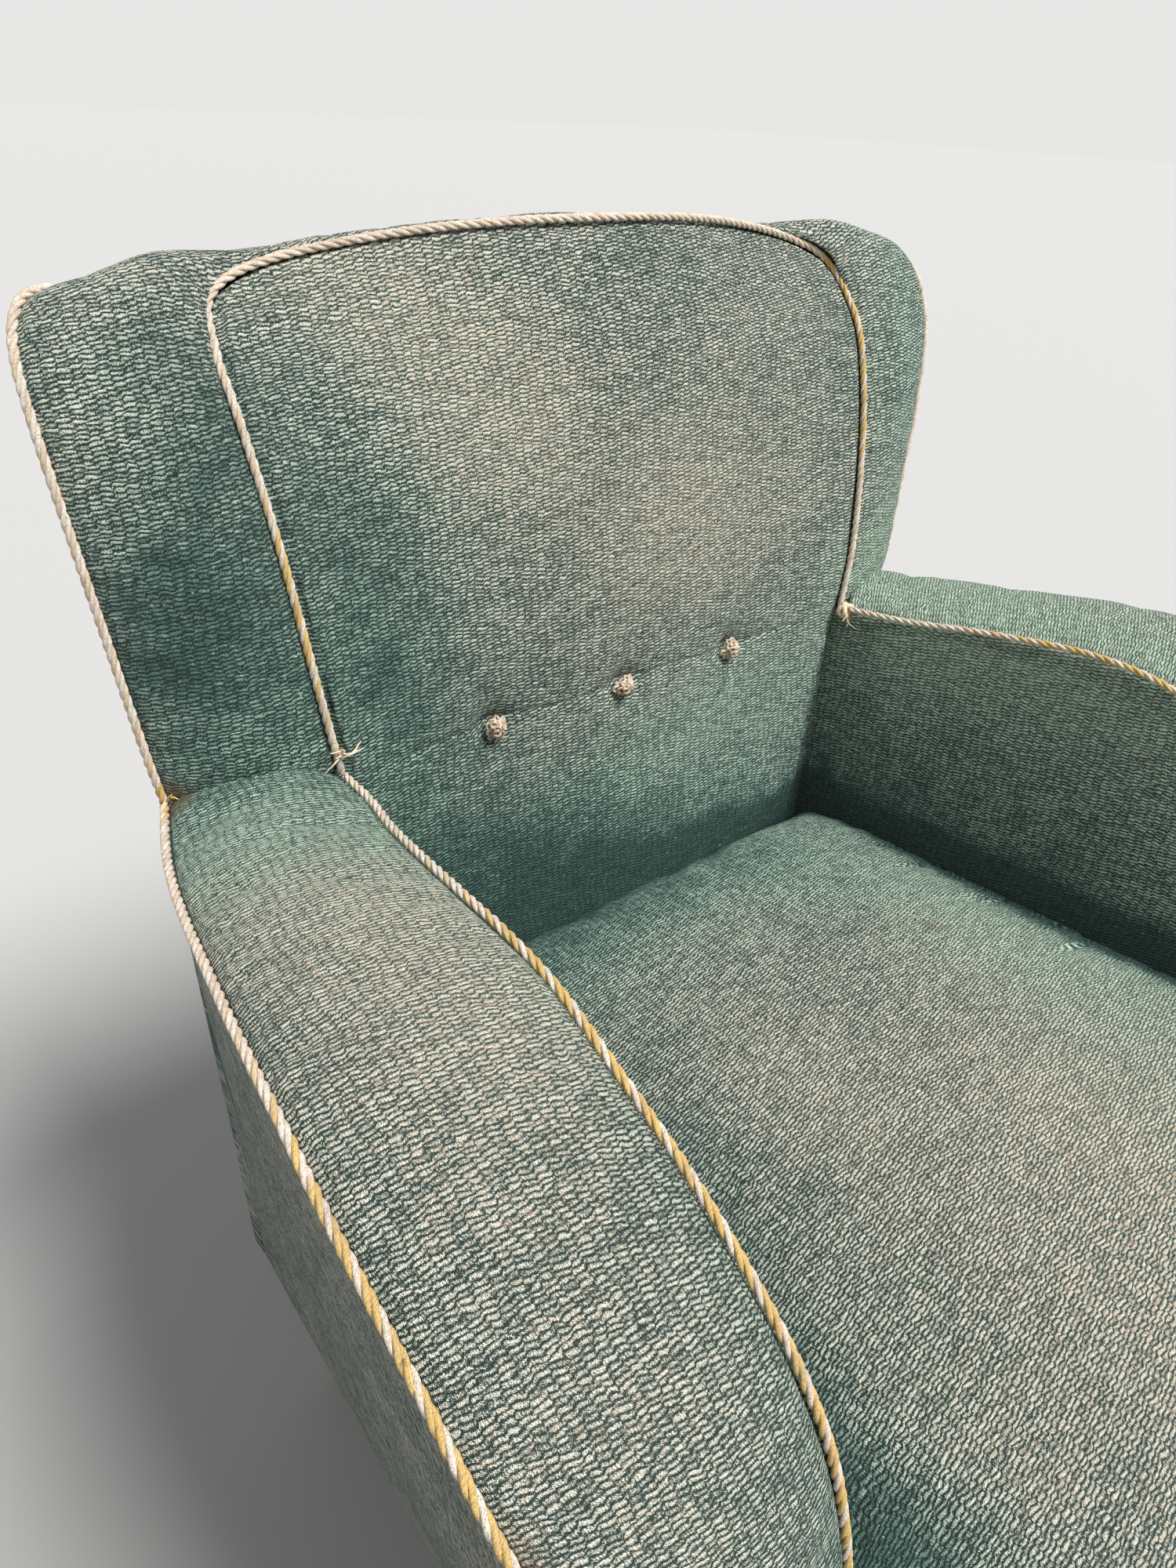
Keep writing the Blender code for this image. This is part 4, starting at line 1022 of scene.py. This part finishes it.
def laid_cord(name, line, node, extra=()):
    data = bpy.data.curves.new(name, "CURVE")
    data.dimensions = "3D"
    spline = data.splines.new("POLY")
    spline.points.add(len(line) - 1)
    spline.points.foreach_set("co", np.concatenate([line, np.ones((len(line), 1))], 1).ravel())
    shaped = added(name + "_line", data)
    strands = shaped.modifiers.new("strands", "NODES")
    strands.node_group = TWIST
    values = {"Twist": CORD_TWIST, "Step": CORD_STEP, "Strand": PLY_RADIUS, "Offset": PLY_OFFSET}
    values["Finish"] = COTTON.material
    for item in TWIST.interface.items_tree:
        if item.in_out == "INPUT" and item.name in values:
            strands[item.identifier] = values[item.name]
    made_of = shaped.evaluated_get(bpy.context.evaluated_depsgraph_get())
    mesh = bpy.data.meshes.new_from_object(made_of)
    bpy.data.objects.remove(shaped)
    mesh.name = name
    mesh.materials.clear()
    mesh.materials.append(COTTON.material)
    if extra:
        points, faces = together(extra)
        loose = bpy.data.meshes.new("loose")
        loose.from_pydata(points.tolist(), [], faces)
        both = bmesh.new()
        both.from_mesh(mesh)
        both.from_mesh(loose)
        both.to_mesh(mesh)
        both.free()
        mesh.shade_smooth()
    mesh.polygons.foreach_set("material_index", np.zeros(len(mesh.polygons), int))
    points = np.array([v.co for v in mesh.vertices])
    shade = spots(points, OCHRE).astype(np.float32)
    mesh.attributes.new("ochre", "FLOAT", "POINT").data.foreach_set("value", shade)
    made = added(name, mesh)
    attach(made, "root")
    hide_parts(node)


def cords():
    rng = np.random.default_rng(5)
    threads = (2.6, 0.015), (2.0, 0.011), (0.7, 0.012), (0.2, 0.010), (3.5, 0.013), (1.4, 0.008), (-0.4, 0.007)
    frayed = bunch(rng, (-0.2298, 0.2045, 0.5740), -0.25, 0.7, 0.0006, threads, 0.003, 0.002)
    turns = np.linspace(0, math.tau * 1.7, 44)
    knot = 0.0048 * np.cos(turns), 0.0030 * np.sin(turns * 1.5), 0.0046 * np.sin(turns)
    knot = tube(np.stack(knot, -1) + (0.2282, 0.2005, 0.5590), 0.0021, 7)
    threads = (-1.9, 0.014), (-1.5, 0.010), (0.3, 0.012), (0.9, 0.007), (-2.6, 0.008)
    knotted = bunch(rng, (0.2290, 0.1980, 0.5580), -0.30, 1.0, 0.0007, threads)
    ends = [*frayed, knot, *knotted]
    laid_cord("inner_back_cord", whole(BACK_INNER)(np.linspace(0, 1, 560)), "back_inner_cord", ends)
    laid_cord("outer_back_cord", whole(BACK_OUTER)(np.linspace(0, 1, 600)), "back_outer_cord")
    curl = (-0.3985, -0.118, 0.548), (-0.4005, -0.124, 0.552), (-0.4020, -0.129, 0.549), (-0.4000, -0.131, 0.546)
    threads = (0.4, 0.009), (1.1, 0.008), (1.8, 0.006), (-0.3, 0.008), (2.7, 0.006), (0.8, 0.011)
    worn_end = [loose_thread(curl), *bunch(rng, (-0.3200, 0.2385, 0.5585), -0.55, 0.8, 0.0006, threads)]
    for side, sign in SIGNS.items():
        for place, seam in (("inner", ARM_INNER), ("outer", ARM_OUTER)):
            line = Seam(seam)(np.linspace(0.004, 1, 330)) * (sign, 1, 1)
            extra = worn_end if (side, place) == ("left", "outer") else ()
            laid_cord(f"{place}_{side}_arm_cord", line, f"{side}_arm_{place}_cord", extra)


cords()

# --------------------
# Tufts. Three rosettes of looped wool yarn, cream and brown, stitched through the inside back.
# Each is a flat bunch of small loops round a stitched middle.


def tufts():
    yarn = Finish("tuft_yarn", 0.92)
    here = yarn.place()
    mixed = yarn.cloud(here, 330.0, 2.0).rising(0.40, 0.62)
    colour = yarn.mix(mixed, (0.88, 0.74, 0.58), (0.50, 0.35, 0.23))
    fibres = yarn.cloud(here, 1500.0, 3.0, 0.7)
    # Painted shade: the low fibres darkened to dark brown, where shade falls between them.
    yarn.feed("Base Color", yarn.mix(fibres.rising(0.5, 0.3) * 0.5, colour, (0.12, 0.08, 0.05)))
    yarn.bump(fibres, 0.0016)
    rng = np.random.default_rng(11)
    for place in ("left", "middle", "right"):
        low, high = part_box(f"{place}_button")
        middle = (low + high) / 2
        loops = []
        for layer, (petals, reach, lift) in enumerate(((9, 0.0086, 0.0), (8, 0.0068, -0.0026), (6, 0.0044, -0.0050))):
            for k in range(petals):
                angle = math.tau * (k + 0.35 * layer + rng.uniform(-0.25, 0.25)) / petals
                droop = 1.0 - 0.22 * math.sin(angle)
                long, wide = reach * rng.uniform(0.75, 1.12) * droop, 0.0018 * rng.uniform(0.7, 1.3)
                t = np.linspace(0, math.tau, 15)
                out = long * (0.5 - 0.5 * np.cos(t)) ** 0.8
                sway = wide * np.sin(t) * (0.4 + out / long)
                rise = lift - 0.0022 * np.sin(np.pi * out / long) * rng.uniform(0.6, 1.3)
                x = middle.x + out * math.cos(angle) - sway * math.sin(angle)
                z = middle.z + out * math.sin(angle) + sway * math.cos(angle)
                loops.append(tube(np.stack([x, middle.y + 0.0032 + rise, z], -1), 0.00088, 6))
        made = piece(f"{place}_tuft", *together(loops), yarn)
        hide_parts(f"{place}_button")


tufts()

# --------------------
# Dust cloth. Thin black cotton tacked to the underside of the seat rails, sagging a little between them.
# It is cut away round the legs.

DUST_FRONT, DUST_REAR = 0.262, 0.236
DUST_FRONT_HALF, DUST_REAR_HALF = 0.334, 0.290
DUST_HEIGHT = 0.1716
DUST_SAG = 0.0030
DUST_THICKNESS = 0.0006


def dust_cloth():
    black = Finish("dusty_black_cotton", 0.95)
    grey = black.cloud(black.place(), 25.0, 5.0, 0.6)
    black.feed("Base Color", black.ramp(grey, (0.35, (0.016, 0.016, 0.017)), (0.72, (0.085, 0.078, 0.070))))
    black.bump(black.cloud(black.place(), 900.0, 2.0), 0.0004)
    xs, ys = np.linspace(-DUST_FRONT_HALF, DUST_FRONT_HALF, 69), np.linspace(-DUST_FRONT, DUST_REAR, 51)
    y, x = np.meshgrid(ys, xs, indexing="ij")
    half = DUST_FRONT_HALF + (DUST_REAR_HALF - DUST_FRONT_HALF) * (y + DUST_FRONT) / (DUST_REAR + DUST_FRONT)
    x = x * half / DUST_FRONT_HALF
    sag = DUST_SAG * np.clip(1 - (x / 0.29) ** 2, 0, 1) * np.clip(1 - ((y + 0.012) / 0.225) ** 2, 0, 1)
    rows = np.stack([x, y, DUST_HEIGHT - sag], -1)[:, ::-1]
    faces = []
    for face in quads(rows):
        centre = rows.reshape(-1, 3)[face].mean(0)
        front_corner = centre[1] < -0.204 and abs(centre[0]) > 0.266
        rear_corner = centre[1] > 0.160 and abs(centre[0]) > 0.214
        if not (front_corner or rear_corner):
            faces.append(face)
    made = piece("black_dust_cloth", rows.reshape(-1, 3), faces, black)
    tidy = bmesh.new()
    tidy.from_mesh(made.data)
    bmesh.ops.delete(tidy, geom=[v for v in tidy.verts if not v.link_faces], context="VERTS")
    tidy.to_mesh(made.data)
    tidy.free()
    thicken(made, DUST_THICKNESS)
    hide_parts("dust_cloth")


dust_cloth()

# --------------------
# Floor, light and camera. A plain pale floor, a broad soft light above the front and a weaker one at the left.
# The camera stands close to the left arm, at eye height, looking down over the arm at the seat and the back.

EYE = (-0.52, -0.325, 0.905)
LENS = 27


def studio():
    floor = Finish("pale_floor", 0.8)
    floor.shader.inputs["Base Color"].default_value = (0.400, 0.395, 0.386, 1)
    data = bpy.data.meshes.new("floor")
    data.from_pydata([(-40, -40, 0), (40, -40, 0), (40, 40, 0), (-40, 40, 0)], [], [(0, 1, 2, 3)])
    data.materials.append(floor.material)
    added("floor", data)
    for name, place, spread, power in (("key", (0.20, -0.56, 0.93), 26, 5.7), ("fill", (-0.8, -0.5, 0.45), 60, 0.5)):
        lamp = bpy.data.lights.new(name, "SUN")
        lamp.angle = math.radians(spread)
        lamp.energy = power
        made = added(name, lamp)
        made.rotation_euler = Vector(place).to_track_quat("Z", "Y").to_euler()
    world = bpy.data.worlds.new("studio")
    bpy.context.scene.world = world
    world.use_nodes = True
    nodes, links = world.node_tree.nodes, world.node_tree.links
    lit = nodes["Background"]
    lit.inputs["Color"].default_value = (0.80, 0.82, 0.85, 1)
    lit.inputs["Strength"].default_value = 0.42
    seen = nodes.new("ShaderNodeBackground")
    seen.inputs["Color"].default_value = (0.80, 0.80, 0.79, 1)
    seen.inputs["Strength"].default_value = 1.0
    ray, most, choose = (nodes.new("ShaderNode" + kind) for kind in ("LightPath", "Math", "MixShader"))
    most.operation = "MAXIMUM"
    for source, target in (
        (ray.outputs["Is Camera Ray"], most.inputs[0]), (ray.outputs["Is Glossy Ray"], most.inputs[1]),
        (most.outputs[0], choose.inputs[0]), (lit.outputs[0], choose.inputs[1]), (seen.outputs[0], choose.inputs[2]),
        (choose.outputs[0], nodes["World Output"].inputs[0]),
    ):  # fmt: skip
        links.new(source, target)
    bpy.context.scene.view_settings.view_transform = "Standard"


def camera():
    eye = bpy.data.cameras.new("camera")
    eye.lens = LENS
    eye.sensor_width = 36
    right = Vector((0.7564, -0.6524, 0.0466)).normalized()
    up = Vector((0.2987, 0.4080, 0.8627))
    up = (up - right * up.dot(right)).normalized()
    turned = Matrix((right, up, right.cross(up))).transposed().to_4x4()
    turned.translation = EYE
    stand = added("camera", eye)
    stand.matrix_world = turned
    bpy.context.scene.camera = stand


studio()
camera()

bpy.context.view_layer.update()
